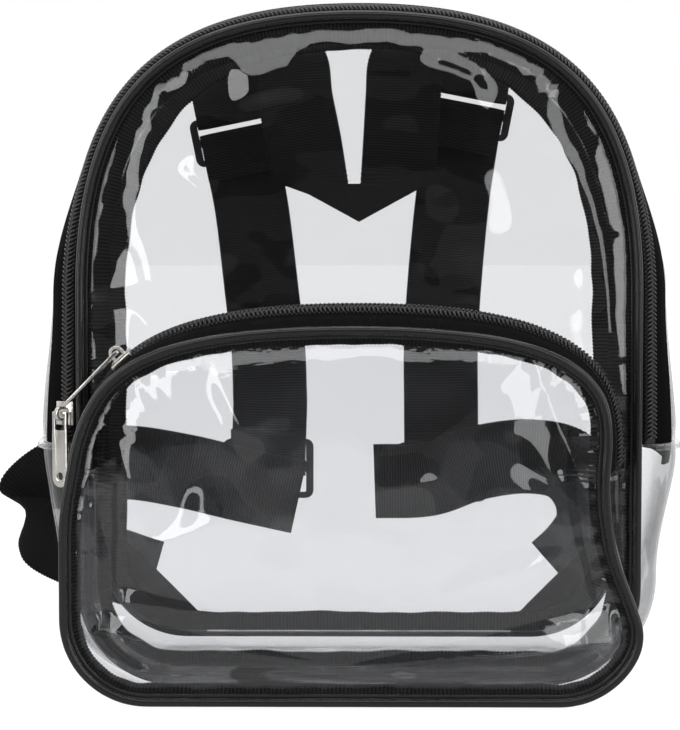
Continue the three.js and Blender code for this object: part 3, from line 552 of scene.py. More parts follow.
# Clear sheet: what isn't mirrored passes through, a little dimmed by each face
def makeFilm(name, tint, low, high, rippleScale, rippleDepth):
    material, tree, shader = newMaterial(name)
    marks = useGroup(tree, handlingGroup, coordinates(tree, "Object"), Scale=9, Low=low, High=high)
    setInputs(shader, {"Base Color": (0.95, 0.955, 0.96, 1), "Metallic": 1.0})
    tree.links.new(marks.outputs["Value"], shader.inputs["Roughness"])
    waves = noiseNode(tree, coordinates(tree, "Object"), rippleScale, 2, 0.45)
    bumpInto(tree, shader, waves, 1.0, rippleDepth)
    clear = tree.nodes.new("ShaderNodeBsdfTransparent")
    clear.inputs[0].default_value = (*tint, 1)
    mirror = tree.nodes.new("ShaderNodeFresnel")
    # The sheet is thin, so both of its faces mirror as its outer face does
    geometry = tree.nodes.new("ShaderNodeNewGeometry")
    index = mathNode(tree, "MULTIPLY_ADD", geometry.outputs["Backfacing"], 1 / filmIndex - filmIndex, filmIndex)
    tree.links.new(index, mirror.inputs["IOR"])
    tree.links.new(shader.inputs["Normal"].links[0].from_socket, mirror.inputs["Normal"])
    mix = tree.nodes.new("ShaderNodeMixShader")
    tree.links.new(mirror.outputs[0], mix.inputs[0])
    tree.links.new(clear.outputs[0], mix.inputs[1])
    tree.links.new(shader.outputs[0], mix.inputs[2])
    tree.links.new(mix.outputs[0], tree.nodes["Material Output"].inputs["Surface"])
    return material


clearFilm = makeFilm("clearVinylSheet", (0.948, 0.95, 0.955), 0.0, 0.035, 14, 0.004)
# Smooth plastics: name, dark and light tone, least and most roughness, scale of the marks, relief, coat
pipingVinyl = makeSmooth("glossyPipingVinyl", (0.008, 0.008, 0.0085), (0.015, 0.015, 0.016),
                         0.18, 0.24, 80, 0.0, 0.15)
coilNylon = makeSmooth("coilNylon", (0.01, 0.01, 0.01), (0.022, 0.022, 0.022), 0.26, 0.4, 90, 0.05, 0.2)
buckleAcetal = makeSmooth("mouldedBuckle", (0.011, 0.011, 0.012), (0.02, 0.02, 0.021), 0.28, 0.42, 70, 0.15)
sewingThread = makeSmooth("sewingThread", (0.016, 0.016, 0.016), (0.03, 0.03, 0.03), 0.55, 0.75, 300, 0.3)
# Cloths: name, dark and light tone (painted shade in the weave's grooves, painted highlight on its ribs), pitch
# of ribs and of threads, roughness, relief, sheen
tapeCloth = makeCloth("zipTape", (0.002, 0.002, 0.0022), (0.007, 0.007, 0.0072), 0.0009, 0.0007, 0.8, 0.3, 0.01)
# The binding's wide step from dark to light tone is mostly painted shade between its ribs and painted highlight
# on them
bindingCloth = makeCloth("grosgrainBinding", (0.003, 0.003, 0.003), (0.034, 0.034, 0.035),
                         0.0017, 0.0005, 0.75, 0.7, 0.03)
webbingCloth = makeCloth("strapWebbing", (0.004, 0.004, 0.0042), (0.018, 0.018, 0.019),
                         0.00135, 0.0009, 0.8, 0.18, 0.03)
nickelPlate = makeFinish("nickelPlate", (0.7052, 0.6794, 0.645), (0.82, 0.79, 0.75),
                         0.12, 0.3, 120, 0.15, Metallic=1.0)
print("finishes made")


# Clear sheets

panelLook = dict(thickness=0.9, roll=3.0, rollReach=6.0, rollSunk=0.6, pucker=0.5, puckerReach=9.0,
                 puckers=(23, 41, 67, 90), puckerStart=3, creaseStart=12, foldStart=5,
                 seamHeight=0.35, seamReach=4, falloff=0.85)
# Soft creases of each panel: two ends, gentle width above or below the ridge, sharp width, height
panelCreases = {
    "front": [((-104, 120), (-70, 60), 9, 5, 0.9), ((96, 240), (112, 120), 8, 5, 1.1),
              ((-58, 262), (-18, 270), 12, 5, 2.0), ((24, 278), (60, 262), -10, 5, 2.0),
              ((36, 245), (46, 185), 15, 8, 2.2), ((-78, 236), (-62, 222), 8, 4, 1.3),
              ((-100, 215), (-86, 150), 10, 6, 0.9), ((70, 268), (104, 205), 12, 7, 1.4)],
    "back": [((-80, 60), (60, 40), 16, 12, -0.6), ((40, 120), (90, 60), 18, 12, -0.7)],
    "pocket": [((-104, 116), (-90, 62), 8, 4, 1.3), ((100, 70), (86, 116), 9, 5, -1.3),
               ((-62, 146), (-44, 108), 10, 5, 1.8), ((70, 118), (100, 74), 10, 5, 1.8),
               ((-114, 100), (-106, 30), 5, 3, -1.2), ((16, 38), (92, 66), -9, 5, 1.3),
               ((-96, 66), (-40, 82), -11, 6, 2.2), ((-74, 92), (-50, 84), -9, 6, 1.8),
               ((-30, 76), (30, 66), 12, 7, 0.9), ((-70, 50), (-8, 58), 10, 6, 0.8),
               ((48, 98), (84, 92), -10, 6, 2.0), ((4, 92), (34, 100), -9, 6, 1.6)],
}
# Folded facets of each panel: ridge from the seam inwards, width at the seam, slope in degrees
panelFolds = {
    "pocket": [((-110, 34), (-12, 20.5), 9.0, 24), ((107, 30), (-6, 19), 15, 27),
               ((-100, 47), (-40, 40), 6, 22)],
}
foldLook = dict(bow=0.05, crest=1.2, steepness=0.8, least=0.5, narrowed=0.1, drop=2.5)


# A grid over a whole outline, made from its four sides
def coonsGrid(seam, fineness):
    corner = outlineSteps["bottom"] + outlineSteps["corner"] // 2
    top = stationCount // 2
    sideways, upward = 2 * corner, top - 2 * corner
    u = np.linspace(0, 1, sideways * fineness + 1)[None, :]
    w = np.linspace(0, 1, upward * fineness + 1)[:, None]
    low = along(seam, stationCount - corner + u[0] * sideways)[:, :2][None]
    high = along(seam, top + corner - u[0] * sideways)[:, :2][None]
    right = along(seam, corner + w[:, 0] * upward)[:, :2][:, None]
    left = along(seam, stationCount - corner - w[:, 0] * upward)[:, :2][:, None]
    u, w = u[..., None], w[..., None]
    flat = (1 - w) * low + w * high + (1 - u) * left + u * right
    ends = (1 - w) * ((1 - u) * low[:, :1] + u * low[:, -1:]) + w * ((1 - u) * high[:, :1] + u * high[:, -1:])
    return flat - ends


# Distance to the seam, and the place along it
def seamDistance(seam, x, z):
    ring, _ = wholeRing(seam, 2)
    edge = along(seam, ring)[:, :2]
    far = np.hypot(x[..., None] - edge[:, 0], z[..., None] - edge[:, 1])
    nearest = far.argmin(-1)
    return far.min(-1), nearest / len(edge)


# Share of the way along a line, distance above it, and its length
def besideLine(x, z, start, end):
    (ax, az), (bx, bz) = start, end
    length = math.hypot(bx - ax, bz - az)
    ux, uz = (bx - ax) / length, (bz - az) / length
    run = ((x - ax) * ux + (z - az) * uz) / length
    return run, ((z - az) * ux - (x - ax) * uz), length, 1 if ux > 0 else -1


# Height of a crease: gentle on one side, sharp on the other, bowed a little, fading out at both ends
def crease(x, z, start, end, gentle, sharp, height):
    run, side, length, turned = besideLine(x, z, start, end)
    side = (side - foldLook["bow"] * length * np.sin(np.pi * run)) * turned * (1 if gentle > 0 else -1)
    width = lerp(sharp, abs(gentle), ease(side / foldLook["crest"] + 0.5))
    return height * np.exp(-(side / width)**2 * foldLook["steepness"]) * ease(1.25 - np.abs(run - 0.5) * 2.2)


# Height of a facet that rises evenly to a ridge and drops sharply below it, narrowing along the ridge
def fold(x, z, start, end, width, slope):
    run, side, _, turned = besideLine(x, z, start, end)
    side = side * turned
    wide = np.maximum(foldLook["least"], width * lerp(1, foldLook["narrowed"], run))
    rise = np.clip(1 - side / wide, 0, 1) * ease(1 + side / foldLook["drop"])
    return math.tan(math.radians(slope)) * wide * rise * ease((1.05 - run) * 8) * ease((run + 0.05) * 20)


def filmPanel(label, seam, seamY, dome, side, seed, fineness):
    flat = coonsGrid(seam, fineness)
    x, z = flat[..., 0], flat[..., 1]
    distance, place = seamDistance(seam, x, z)
    height = dome * (1 - reachIn(seam, x, z)**3)
    look = panelLook
    height += look["roll"] * (1 - np.exp(-distance / look["rollReach"]) - look["rollSunk"])
    height += look["pucker"] * np.exp(-distance / look["puckerReach"]) * (
        ripple(place, seed, look["puckers"], look["falloff"])) * ease(distance / look["puckerStart"])
    height += sum(crease(x, z, *row) for row in panelCreases[label]) * ease(distance / look["creaseStart"])
    height += sum(fold(x, z, *row) for row in panelFolds.get(label, [])) * ease(distance / look["foldStart"])
    height = height * ease(look["seamHeight"] + distance / look["seamReach"])
    points = np.stack([x, seamY + side * (height + bag["film"]), z], -1)
    normals = gridNormals(points)
    normals *= np.sign((normals[..., 1] * side).mean())
    return makeSheet(f"film_{label}", points, look["thickness"], 0, normals, clearFilm, f"{label}_panel",
                     "clear_vinyl")


filmPanel("front", frontSeam, frontY, bag["frontDome"], -1, 3, 2)
filmPanel("back", backSeam, backY, bag["backDome"] - 1, 1, 5, 2)
filmPanel("pocket", pocketSeam, pocketY, pocket["dome"], -1, 8, 3)

gussetLook = dict(step=2.2, thickness=0.9, sag=0.9, sags=(5, 9, 14, 23), sagStart=14, slant=0.06, falloff=0.6,
                  pucker=0.35, puckers=(37, 53, 71), puckerReach=6, puckerStart=2, ends=4, floor=3)


def filmGusset(name, node, skin, start, stop, low, high, depth, columns, seed):
    look = gussetLook
    t, _ = evenly(lambda t: skin(t, [0.5])[:, 0], start, stop, look["step"])
    v = np.linspace(low, high, columns)
    points = skin(t, v)
    normals = gridNormals(points)
    s = ((t - start) / stationCount)[:, None] + 0 * v[None, :]
    edge = np.minimum(v - v[0], v[-1] - v)[None, :] * depth
    wave = look["sag"] * ripple(s + look["slant"] * v[None, :], seed, look["sags"], look["falloff"])
    wave *= ease(edge / look["sagStart"])
    pucker = look["pucker"] * ripple(s, seed + 1, look["puckers"]) * np.exp(-edge / look["puckerReach"])
    wave += pucker * ease(edge / look["puckerStart"])
    ends = ease(np.minimum(np.arange(len(t)), np.arange(len(t))[::-1]) / look["ends"])[:, None]
    points = points + normals * (wave * ends)[..., None] * (points[..., 2:] > look["floor"])
    return makeSheet(name, points, look["thickness"], 0, None, clearFilm, node, "clear_vinyl")


depth = bag["depth"]
filmGusset("film_lower_gusset", "lower_gusset", bodySkin, lowStart, lowStop, gap / depth, 1 - gap / depth,
           depth, 56, 11)
filmGusset("film_upper_gusset", "upper_gusset", behindZipSkin, zipStart, zipStop, 0, 1, depth - tapeEnd, 40, 12)
filmGusset("film_pocket_gusset", "pocket_gusset", pocketSkin, lowStart, lowStop, gap / pocket["depth"], 1,
           pocket["depth"], 20, 13)
print("clear sheets made")


# Zips

tapeLook = dict(step=2.0, thickness=1.0, columns=13, welt=0.35, weltPlace=1.2, weltWidth=0.6, sunk=0.2)


def zipTape(name, node, skin, low, high):
    t, _ = evenly(lambda t: skin(t, [(low + high) / 2])[:, 0], zipStart, zipStop, tapeLook["step"])
    v = np.linspace(low, high, tapeLook["columns"])
    points = skin(t, v)
    edge = np.minimum(v - low, high - v)
    look = tapeLook
    relief = look["welt"] * np.exp(-((edge - look["weltPlace"]) / look["weltWidth"])**2) - look["sunk"]
    points = points + gridNormals(points) * relief[None, :, None]
    return makeSheet(name, points, look["thickness"], 0, None, tapeCloth, node, "zip_tape")


toothLook = dict(pitch=1.95, wire=0.6, sides=8,
                 path=[(-3.0, 0.1, -0.1), (-2.75, 0.75, 0.0), (-1.9, 1.1, 0.2), (-0.8, 1.2, 0.5),
                       (0.3, 1.05, 0.78), (0.9, 0.6, 0.9), (0.7, 0.1, 0.9)],
                 swell=(0.35, 0.9, 1.0, 1.0, 1.0, 0.9, 0.4), underColumns=5, underThickness=0.7)


def zipCoil(name, node, skin, low, high):
    middle = (low + high) / 2
    t, _ = evenly(lambda t: skin(t, [middle])[:, 0], zipStart, zipStop, toothLook["pitch"])
    grid = skin(t, [middle - 0.5, middle, middle + 0.5])
    spine = grid[:, 1]
    wide = unit(grid[:, 2] - grid[:, 0])
    ahead = unit(np.gradient(spine, axis=0))
    out = np.cross(wide, ahead)
    path = np.array(toothLook["path"])
    turn = turns(toothLook["sides"])
    wire, caps = tubeFaces(len(path), toothLook["sides"])
    parts = []
    for side in (1, -1):
        local = path * (side, 1, toothLook["pitch"])
        local[:, 2] += 0 if side > 0 else toothLook["pitch"] / 2
        direction = unit(np.gradient(local, axis=0))
        first = unit(np.cross(direction, (0, 0, 1.0)))
        second = np.cross(direction, first)
        radius = toothLook["wire"] * np.array(toothLook["swell"])[:, None, None]
        rings = local[:, None] + radius * (first[:, None] * np.cos(turn)[None, :, None]
                                           + second[:, None] * np.sin(turn)[None, :, None])
        rings = rings.reshape(-1, 3)
        blocks = (spine[1:-1, None] + wide[1:-1, None] * rings[None, :, :1]
                  + out[1:-1, None] * rings[None, :, 1:2] + ahead[1:-1, None] * rings[None, :, 2:])
        own = [face[::side] for face in wire + caps]
        parts += [(block, own) for block in blocks]
    under = skin(t, np.linspace(low, high, toothLook["underColumns"]))
    under = sheetSections(under, toothLook["underThickness"])
    points, faces = joinMeshes(parts + [(under, loft(under).tolist())])
    return makePiece(name, points, faces, coilNylon, [node], "zip_coil")


for label, skin, rows in (("main", mainZipSkin, bodyZip), ("pocket", pocketZipSkin, pocketZip)):
    zipTape(f"tape_{label}_facing", f"{label}_zip_facing", skin, *rows["facing"])
    zipTape(f"tape_{label}_back", f"{label}_zip_back_tape", skin, *rows["tape"])
    zipCoil(f"coil_{label}", f"{label}_zip_coil", skin, *rows["coil"])
print("zips made")


# Piping and binding

pipingLook = dict(radius=1.95, step=1.6, sides=16, pinch=0.01, outset=0.76, lift=0.9,
                  flangeWidth=1.5, flangeRise=0.3)
bindingLook = dict(width=10.4, lean=0.44, thickness=1.2, start=-1.2, rib=1.7, across=7,
                   wave=0.9, waves=(9, 17, 31, 47), ruck=0.5, rucks=(13, 29, 43, 61),
                   serration=0.35, relief=0.26)


def pipingRing(name, node, seam, seamY, side):
    t, _ = wholeRing(seam, pipingLook["step"])
    r = pipingLook["radius"]
    turn = turns(pipingLook["sides"])
    pinch = 1 + pipingLook["pinch"] * ripple(t / stationCount, 21, (31, 57, 83))[:, None]
    bead = np.stack([r * (pipingLook["outset"] + pinch * np.cos(turn)),
                     side * (bag["film"] + r * (pipingLook["lift"] + pinch * np.sin(turn)))], -1)
    w, h = pipingLook["flangeWidth"], pipingLook["flangeRise"]
    inward = np.array([[0, 0.1], [-w * 0.3, 0.15], [-w * 0.75, 0.05], [-w, 0], [-w * 1.06, h * 0.5],
                       [-w, h], [-w * 0.75, h + 0.25], [-w * 0.3, h * 0.8], [0, h + 0.2]])
    flange = np.stack([inward[:, 0] - 0.2, side * (bag["film"] + 0.25 + inward[:, 1])], -1)
    flange = np.repeat(flange[None], len(t), 0)
    parts = [besideSeam(seam, t, seamY, bead), besideSeam(seam, t, seamY, flange)]
    points, faces = joinMeshes([(part, facingOut(part, gridFaces(*part.shape[:2], True, True)).tolist())
                                for part in parts])
    return makePiece(name, points, faces, pipingVinyl, [node], "piping")


def bindingRing(name, node, seam, seamY, side, seed, **changes):
    look = dict(bindingLook, **changes)
    t, length = wholeRing(seam, look["rib"] / 4)
    count = int(round(length / look["rib"]))
    s = np.arange(len(t)) / len(t)
    rib = np.cos(2 * np.pi * s * count)
    share = np.linspace(0, 1, look["across"])
    reach = look["width"] * share[None, :] + (share**2)[None, :] * (
        look["wave"] * ripple(s, seed, look["waves"]) + look["serration"] * rib)[:, None]
    ruck = look["ruck"] * ripple(s, seed + 1, look["rucks"])[:, None] * (share**1.5)[None, :]
    cos, sin = math.cos(look["lean"]), math.sin(look["lean"])

    def edge(lift):
        through = lift + ruck
        out = look["start"] - reach * cos + through * sin
        return np.stack([out, side * (gap + reach * sin + through * cos)], -1)

    bump = look["relief"] * rib[:, None]
    corners = np.concatenate([edge(0 * bump), edge(look["thickness"] + bump)[:, ::-1]], axis=1)
    points = besideSeam(seam, t, seamY, corners)
    faces = facingOut(points, gridFaces(*points.shape[:2], True, True))
    u = (s * length)[:, None] + np.zeros((1, points.shape[1]))
    v = np.concatenate([share, share[::-1]])[None, :] * look["width"] + 0 * u
    return makePiece(name, points, faces, bindingCloth, [node], "ribbon",
                     places=asPlaces(u, v))


pipingRing("piping_front", "front_piping", frontSeam, frontY, -1)
pipingRing("piping_back", "back_piping", backSeam, backY, 1)
pipingRing("piping_pocket", "pocket_piping", pocketSeam, pocketY, -1)
bindingRing("binding_front", "front_binding", frontSeam, frontY, 1, 31)
bindingRing("binding_back", "back_binding", backSeam, backY, -1, 33)
bindingRing("binding_pocket", "pocket_binding", pocketSeam, pocketY, 1, 35, width=6.6, lean=1.0, wave=0.5)
print("piping and binding made")


# Straps

strapLook = dict(width=38, thickness=1.6, arch=26, rib=1.35, edge=0.22, relief=0.1, columns=9,
                 rounding=0.45, squareness=9, cutReach=12, bar=3, buckle=2.6, adjuster=24, lock=30, foldBack=20,
                 bend=[(1.3, 0.6), (1.6, 0), (1.3, -0.6)], pieces=14, smoothings=10)
yokeLook = dict(half=42, point=211, rise=23, band=19, flat=0.24, slope=0.6, tip=0.2, stations=61)
tabLook = dict(outer=2, inner=22, reach=0.96, stations=41)
patchLook = dict(rows=13, thickness=1.5, above=0.8, relief=0.05)

# Rows of a strap: across and up as shares of the back panel, behind as a share of the arch, lean in degrees
strapRoutes = {
    "left": dict(
        yoke=[(-0.185, 0.752, 0.115, -7), (-0.218, 0.84, 0.15, -7), (-0.255, 0.92, 0.3, -8),
              (-0.271, 0.975, 0.52, -8), (-0.315, 1.0, 0.78, 0), (-0.43, 0.992, 1.0, 8),
              (-0.5, 0.955, 1.06, 11), (-0.505, 0.915, 1.0, 12)],
        adjuster=(-0.49, 0.855, 0.86, 12), adjusterDown=(0.2, -0.02, -0.98),
        shoulder=[(-0.463, 0.795, 0.97, 11), (-0.435, 0.735, 0.87, 9), (-0.39, 0.584, 0.62, 5),
                  (-0.365, 0.493, 0.53, 3), (-0.357, 0.402, 0.47, 1)],
        lock=(-0.365, 0.29, 0.39, 0), lockDown=(0, -0.03, -1),
        lower=[(-0.24, 0.243, 0.18, 71), (-0.476, 0.265, 0.17, 76), (-0.714, 0.288, 0.24, 80),
               (-0.937, 0.3, 0.46, 88), (-1.12, 0.29, 0.72, 94), (-1.27, 0.26, 0.82, 98),
               (-1.345, 0.222, 0.64, 100), (-1.29, 0.185, 0.4, 102),
               (-1.13, 0.151, 0.27, 104), (-0.93, 0.122, 0.22, 111), (-0.82, 0.108, 0.15, 116)],
    ),
    "right": dict(
        yoke=[(0.152, 0.752, 0.115, 5), (0.165, 0.84, 0.15, 5), (0.176, 0.92, 0.3, 6), (0.186, 0.975, 0.52, 6),
              (0.23, 1.003, 0.78, 0), (0.35, 1.0, 1.0, -7), (0.415, 0.992, 1.06, -10),
              (0.442, 0.965, 1.03, -11)],
        adjuster=(0.433, 0.898, 0.86, -11), adjusterDown=(-0.19, -0.02, -0.98),
        shoulder=[(0.41, 0.838, 0.97, -10), (0.38, 0.755, 0.86, -8), (0.341, 0.584, 0.62, -4),
                  (0.33, 0.493, 0.53, -2), (0.331, 0.395, 0.47, 0)],
        lock=(0.333, 0.284, 0.39, 0), lockDown=(0, -0.03, -1),
        lower=[(0.063, 0.27, 0.18, 92), (0.28, 0.274, 0.17, 98), (0.46, 0.3, 0.18, 104),
               (0.68, 0.312, 0.26, 94), (0.84, 0.297, 0.42, 70), (0.93, 0.25, 0.48, 40),
               (0.94, 0.195, 0.38, 5), (0.87, 0.15, 0.25, -30),
               (0.79, 0.12, 0.127, -40)],
    ),
}


def placeRow(row):
    across, up, behind, lean = row
    x, z = across * backShape["half"], up * frontShape["top"]
    turn = math.radians(lean)
    y = float(backFace(x, z)) + behind * strapLook["arch"]
    return np.array([x, y, z]), np.array([math.cos(turn), 0, math.sin(turn)])


# A smooth line through points that never swings wide between them
def throughPoints(points, pieces):
    p = np.vstack([2 * points[0] - points[1], points, 2 * points[-1] - points[-2]])
    rows = []
    for i in range(len(points) - 1):
        a, b, c, d = p[i:i + 4]
        before, here, after = (max(np.linalg.norm(q), 1e-9)**0.5 for q in (b - a, c - b, d - c))
        here = here if here > 1e-2 else 1.0
        before, after = (q if q > 1e-2 else here for q in (before, after))
        start = ((b - a) / before - (c - a) / (before + here) + (c - b) / here) * here
        end = ((c - b) / here - (d - b) / (here + after) + (d - c) / after) * here
        t = np.linspace(0, 1, pieces, endpoint=False)[:, None]
        rows.append(b + start * t + (3 * (c - b) - 2 * start - end) * t**2 + (2 * (b - c) + start + end) * t**3)
    return np.vstack([*rows, points[-1:]])


def smoothRoute(rows):
    places = [placeRow(row) for row in rows]
    return tuple(throughPoints(np.array(rows), strapLook["pieces"]) for rows in zip(*places))


def buckleFrame(row, down):
    point, across = placeRow(row)
    ahead = unit(np.array(down, float))
    wide = unit(across - ahead * across.dot(ahead))
    out = np.cross(wide, ahead)
    return dict(point=point, along=ahead, wide=wide, out=out if out[1] > 0 else -out)


# Round a buckle's bar, from its outer side to its inner side
def roundBar(place, bar, turn):
    lift = strapLook["buckle"] / 2 + gap + strapLook["thickness"] / 2
    edge = strapLook["bar"] / 2 + gap
    bend = [(-edge, 1), (edge, 1), *((edge + d, o) for d, o in strapLook["bend"]), (edge, -1),
            (-strapLook["foldBack"], -1)]
    points = [place["point"] + place["along"] * (bar + turn * d) + place["out"] * o * lift for d, o in bend]
    return np.array(points), np.repeat(place["wide"][None], len(bend), 0)


def evenStations(points, wides, step):
    run = runAlong(points)
    keep = np.concatenate([[True], np.diff(run) > 1e-6])
    run, points, wides = run[keep], points[keep], wides[keep]
    s = np.linspace(0, run[-1], max(4, int(round(run[-1] / step))) + 1)
    pick = lambda rows: np.stack([np.interp(s, run, rows[:, k]) for k in range(3)], -1)
    points, wides = pick(points), pick(wides)
    for _ in range(strapLook["smoothings"]):
        points[1:-1] = (points[:-2] + 2 * points[1:-1] + points[2:]) / 4
        wides[1:-1] = (wides[:-2] + 2 * wides[1:-1] + wides[2:]) / 4
    return s, points, wides


def strap(name, node, points, wides, cut=0.0):
    look = strapLook
    s, points, wides = evenStations(points, wides, look["rib"] / 4)
    ahead = unit(np.gradient(points, axis=0))
    wide = unit(wides - ahead * (wides * ahead).sum(1)[:, None])
    thick = np.cross(ahead, wide)
    rib = np.cos(2 * np.pi * s / look["rib"])
    w = np.sin(np.linspace(-1, 1, look["columns"]) * math.pi / 2)
    half = look["width"] / 2 + look["edge"] * (rib - 1)
    lift = (look["thickness"] / 2 + look["relief"] * (rib - 1))[:, None]
    lift = lift * (1 - look["rounding"] * np.abs(w)**look["squareness"])[None, :]
    slant = cut * look["width"] / 2 * np.maximum(0, 1 - s / look["cutReach"])
    centre = (points[:, None] + wide[:, None] * (half[:, None] * w[None, :])[..., None]
              + ahead[:, None] * (slant[:, None] * w[None, :])[..., None])
    outer = centre + thick[:, None] * lift[..., None]
    inner = centre - thick[:, None] * lift[..., None]
    sections = np.concatenate([outer, inner[:, ::-1]], axis=1)
    u = s[:, None] + np.zeros((1, 2 * len(w)))
    v = np.concatenate([w, w[::-1]])[None, :] * look["width"] / 2 + 0 * u
    return makePiece(name, sections, loft(sections), webbingCloth, [node], "webbing",
                     places=asPlaces(u, v))


def joinRuns(*runs):
    return np.vstack([r[0] for r in runs]), np.vstack([r[1] for r in runs])


# A patch on the back panel between two edges that are in step
def backPatch(name, node, low, high):
    look = patchLook
    share = np.linspace(0, 1, look["rows"])[None, :, None]
    flat = low[:, None] * (1 - share) + high[:, None] * share
    x, z = flat[..., 0], flat[..., 1]
    rib = look["relief"] * np.cos(2 * np.pi * z / strapLook["rib"])
    points = np.stack([x, backFace(x, z) + gap + look["above"] + rib, z], -1)
    normals = gridNormals(points)
    normals *= np.sign(normals[..., 1].mean())
    return makeSheet(name, points, look["thickness"], look["above"], normals, webbingCloth, node, "webbing")


def yokeEdges():
    look, band = yokeLook, yokeLook["band"]
    share = np.linspace(-1, 1, look["stations"])
    x = share * look["half"]
    low = look["point"] + np.abs(x) * look["rise"] / look["half"]
    shoulder = look["point"] + band + np.maximum(0, np.abs(share) - look["flat"]) * band * look["slope"]
    return np.column_stack([x, low]), np.column_stack([x, np.maximum(low + band * look["tip"], shoulder)])


def tabEdges(side):
    corner = backShape["corner"]
    cx, cz = backShape["half"] - corner, backShape["bottom"] + corner
    outer, chord = corner - tabLook["outer"], corner - tabLook["inner"]
    widest = math.acos(chord / outer)
    share = np.linspace(-tabLook["reach"], tabLook["reach"], tabLook["stations"])
    turn = -math.pi / 4 + share * widest
    near = chord / np.cos(share * widest)
    edge = lambda reach: np.column_stack([side * (cx + reach * np.cos(turn)), cz + reach * np.sin(turn)])
    return edge(near), edge(outer + 0 * near)


# Edges rounded on the solids' own shapes: lengths in millimetres, angles in degrees
edgeLook = dict(weld=0.02, flat=2, sharp=35, segments=3)


# A piece with the CAD solid's shape, its edges rounded
def softened(name, node, material, width, body="bag"):
    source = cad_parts[node]
    piece = bpy.data.objects.new(name, source.data.copy())
    scene.collection.objects.link(piece)
    piece.matrix_world = source.matrix_world.copy()
    piece.data.materials.clear()
    piece.data.materials.append(material)
    weld = piece.modifiers.new("weld", "WELD")
    weld.merge_threshold = edgeLook["weld"] * metre
    flat = piece.modifiers.new("plain faces", "DECIMATE")
    flat.decimate_type = "DISSOLVE"
    flat.angle_limit = math.radians(edgeLook["flat"])
    bevel = piece.modifiers.new("round edges", "BEVEL")
    bevel.width = width * metre
    bevel.segments = edgeLook["segments"]
    bevel.limit_method = "ANGLE"
    bevel.angle_limit = math.radians(edgeLook["sharp"])
    piece.data.shade_smooth()
    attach(piece, body)
    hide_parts(node)
    return piece


stitchLook = dict(pitch=3.4, length=2.5, radius=0.36, flatness=0.7, rings=4, sides=6, above=2.0,
                  tabRows=(0.1, 0.22), yokeLow=(2.2, 4.4), yokeHigh=-2.2, taper=0.85)


# Stitches along lines on the outer face of a patch on the back panel
def stitches(name, lines):
    look = stitchLook
    turn = turns(look["sides"])
    share = np.linspace(-1, 1, look["rings"])
    width = np.sqrt(1 - look["taper"] * share**2)
    out = np.array((0, 1.0, 0))
    tube, caps = tubeFaces(look["rings"], look["sides"])
    parts = []
    for line in lines:
        run = runAlong(line)
        for s in np.arange(look["pitch"] / 2, run[-1], look["pitch"]):
            at = lambda s: np.array([np.interp(s, run, line[:, k]) for k in range(3)])
            ahead = unit(at(s + 1) - at(s - 1))
            side = unit(np.cross(ahead, out))
            ring = np.cos(turn)[:, None] * side + np.sin(turn)[:, None] * out * look["flatness"]
            block = (at(s) + ahead * (share * look["length"] / 2)[:, None, None]
                     + ring[None] * (look["radius"] * width)[:, None, None])
            parts.append((block, tube + caps))
    return makePiece(name, *joinMeshes(parts), sewingThread, [], "webbing")


# A line beside a patch's edge, on the patch's outer face
def besideEdge(edge, inward):
    flat = edge + inward
    return np.column_stack([flat[:, 0], backFace(flat[:, 0], flat[:, 1]) + stitchLook["above"], flat[:, 1]])


for side, route in strapRoutes.items():
    sign = -1 if side == "left" else 1
    adjuster = buckleFrame(route["adjuster"], route["adjusterDown"])
    lock = buckleFrame(route["lock"], route["lockDown"])
    barLine = lambda height: (height - strapLook["bar"]) / 2
    upper = roundBar(adjuster, -barLine(strapLook["adjuster"]), 1)
    centre = tuple(rows[::-1] for rows in roundBar(adjuster, 0, -1))
    lower = roundBar(lock, 0, 1)
    strap(f"strap_yoke_{side}", f"yoke_strap_{side}", *joinRuns(smoothRoute(route["yoke"]), upper),
          cut=sign * yokeLook["rise"] / yokeLook["half"])
    strap(f"strap_shoulder_{side}", f"shoulder_strap_{side}",
          *joinRuns(centre, smoothRoute(route["shoulder"]), lower))
    strap(f"strap_lower_{side}", f"lower_strap_{side}", *smoothRoute(route["lower"]))
    backPatch(f"tab_{side}", f"corner_tab_{side}", *tabEdges(sign))
    near, far = tabEdges(sign)
    stitches(f"stitches_tab_{side}", [besideEdge(lerp(near, far, share), 0) for share in stitchLook["tabRows"]])
    softened(f"buckle_adjuster_{side}", f"adjuster_{side}", buckleAcetal, 0.8)
    softened(f"buckle_lock_{side}", f"ladder_lock_{side}", buckleAcetal, 0.8)
backPatch("yoke_patch", "yoke", *yokeEdges())
low, high = yokeEdges()
stitches("stitches_yoke", [*(besideEdge(low, (0, inward)) for inward in stitchLook["yokeLow"]),
                           besideEdge(high, (0, stitchLook["yokeHigh"]))])
print("straps made")


# Sliders, pulls and zip ends

for label in ("main", "pocket"):
    softened(f"slider_{label}", f"{label}_zip_slider", nickelPlate, 0.28)
    softened(f"pull_{label}", f"{label}_zip_pull", nickelPlate, 0.3, body=f"{label}_pull")
for side in ("left", "right"):
    for node in (f"zip_end_fold_{side}", f"pocket_end_fold_{side}"):
        softened(f"film_{node}", node, clearFilm, 0.5)
    softened(f"binding_zip_end_{side}", f"zip_end_binding_{side}", bindingCloth, 0.3)
print("zip ends made")


# Floor, lights and camera

